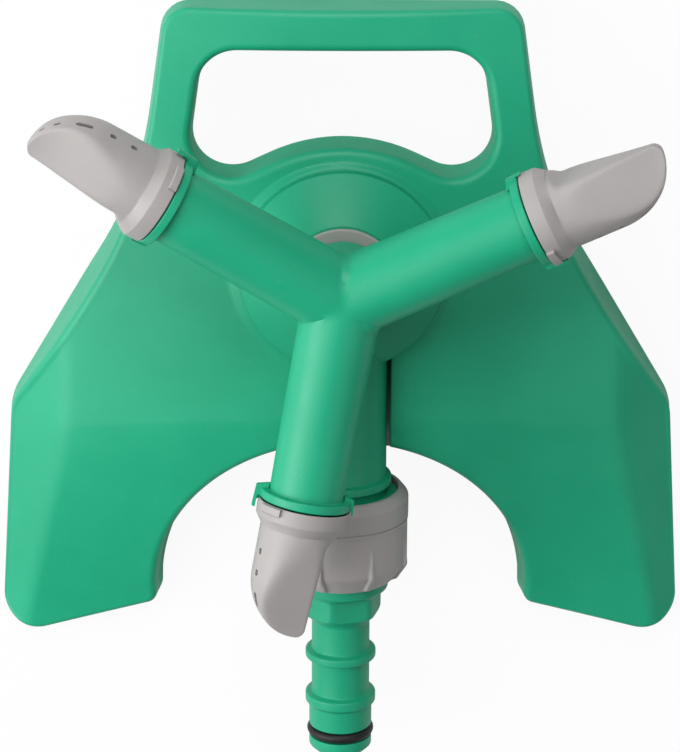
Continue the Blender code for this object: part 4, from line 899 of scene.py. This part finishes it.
def paper_floor():
    """White floor that keeps a faint shadow: to the camera it is mostly white light, and to the rest matt."""
    bpy.ops.mesh.primitive_plane_add(size=FLOOR_SIZE, location=(0.0, 0.0, FLOOR_Z))
    floor = bpy.context.object
    floor.name = "floor"
    paper = bpy.data.materials.new("white_paper")
    paper.use_nodes = True
    tree = paper.node_tree
    tree.nodes.remove(tree.nodes["Principled BSDF"])
    matt = node(tree, "ShaderNodeBsdfDiffuse", Color=(FLOOR_GREY, FLOOR_GREY, FLOOR_GREY, 1.0))
    white = node(tree, "ShaderNodeEmission", Color=(1.0, 1.0, 1.0, 1.0), Strength=1.0)
    share = node(tree, "ShaderNodeMath", operation="MULTIPLY")
    tree.links.new(node(tree, "ShaderNodeLightPath").outputs["Is Camera Ray"], share.inputs[0])
    share.inputs[1].default_value = FLOOR_GLOW
    blend = node(tree, "ShaderNodeMixShader")
    tree.links.new(share.outputs[0], blend.inputs[0])
    tree.links.new(matt.outputs[0], blend.inputs[1])
    tree.links.new(white.outputs[0], blend.inputs[2])
    tree.links.new(blend.outputs[0], tree.nodes["Material Output"].inputs["Surface"])
    floor.data.materials.append(paper)


def painted_keyhole_shadow():
    """Painted shadow: a grey strip on the floor under the keyhole beside the inlet pipe, where little light
    comes in.
    """
    bpy.ops.mesh.primitive_plane_add(size=1.0, location=(0.0, 0.0, 0.0))
    patch = bpy.context.object
    patch.name = "painted_shadow_under_keyhole"
    patch.data.transform(Matrix.Diagonal((*SHADE_SIZE, 1.0, 1.0)))
    patch.data.transform(Matrix.Translation(SHADE_PLACE))
    shade = bpy.data.materials.new("painted_shadow_paper")
    shade.use_nodes = True
    shader = shade.node_tree.nodes["Principled BSDF"]
    shader.inputs["Base Color"].default_value = (SHADE_GREY, SHADE_GREY, SHADE_GREY, 1.0)
    shader.inputs["Roughness"].default_value = 0.9
    patch.data.materials.append(shade)


def surround():
    """White surround as the camera sees it, which lights the object only softly."""
    world = bpy.data.worlds.new("surround")
    bpy.context.scene.world = world
    world.use_nodes = True
    tree = world.node_tree
    seen = node(tree, "ShaderNodeLightPath").outputs["Is Camera Ray"]
    back = tree.nodes["Background"]
    back.inputs["Color"].default_value = (1.0, 1.0, 1.0, 1.0)
    tree.links.new(ranged(tree, seen, SURROUND_LIGHT, SURROUND_SEEN), back.inputs["Strength"])


def lamps():
    """Soft boxes that all face the object."""
    for name, place, width, depth, power in LAMPS:
        lamp = bpy.data.lights.new(name, "AREA")
        lamp.shape = "RECTANGLE"
        lamp.size = width
        lamp.size_y = depth
        lamp.energy = power
        holder = bpy.data.objects.new(name, lamp)
        bpy.context.scene.collection.objects.link(holder)
        holder.location = place
        aim = Vector(LAMP_AIM) - Vector(place)
        holder.rotation_euler = aim.to_track_quat("-Z", "Y").to_euler()


def camera():
    """Camera nearly above the object, with plain view settings."""
    lens = bpy.data.cameras.new("camera")
    lens.lens = FOCAL_PIXELS / PICTURE_HEIGHT * SENSOR_WIDTH
    lens.sensor_width = SENSOR_WIDTH
    lens.clip_start = 0.01
    holder = bpy.data.objects.new("camera", lens)
    bpy.context.scene.collection.objects.link(holder)
    holder.location = CAMERA_PLACE
    holder.rotation_euler = Euler([math.radians(turn) for turn in CAMERA_TURNS])
    bpy.context.scene.camera = holder
    bpy.context.scene.view_settings.view_transform = "Standard"


green = moulded("green_moulded", (0.01, 0.355, 0.19), (0.014, 0.378, 0.204), (0.008, 0.335, 0.177), 0.42)
grey = moulded("grey_moulded", (0.365, 0.345, 0.34), (0.39, 0.367, 0.36), (0.34, 0.322, 0.317), 0.45)
nylon = moulded("nylon_turned", (0.75, 0.74, 0.7), (0.78, 0.77, 0.73), (0.7, 0.69, 0.65), 0.4)
rubber = moulded(
    "rubber_moulded", (0.012, 0.012, 0.013), (0.018, 0.018, 0.019), (0.008, 0.008, 0.009), 0.5, spots=0.05
)
steel = plated()

finishes = {
    "green_plastic": green,
    "grey_plastic": grey,
    "white_nylon": nylon,
    "black_rubber": rubber,
    "screw_steel": steel,
}
for part in frame["record"]["subparts"]:
    carried = frame["nodes"][part["node"]]
    for place in carried.material_slots:
        place.material = finishes[part["material_slot"]]

finished(base_shell(), "base", ["base_shell"], green)
finished(cone_and_pipe(), "base", ["water_body"], green)
finished(bearing_ring(), "base", ["bearing_ring"], grey)
finished(inlet_nipple(), "base", ["inlet_nipple"], green)
finished(seal_ring(), "base", ["nipple_o_ring"], rubber)
finished(rotor(), "spinner", ["rotor"], green)
for index in range(3):
    finished(nozzle_cap(index), f"cap_{index + 1}", [f"nozzle_cap_{index + 1}"], grey)
finished(hose_nut(), "nut", ["hose_nut"], grey)
paper_floor()
# Painted shadow: grey strip on the floor under the keyhole
painted_keyhole_shadow()
surround()
lamps()
camera()
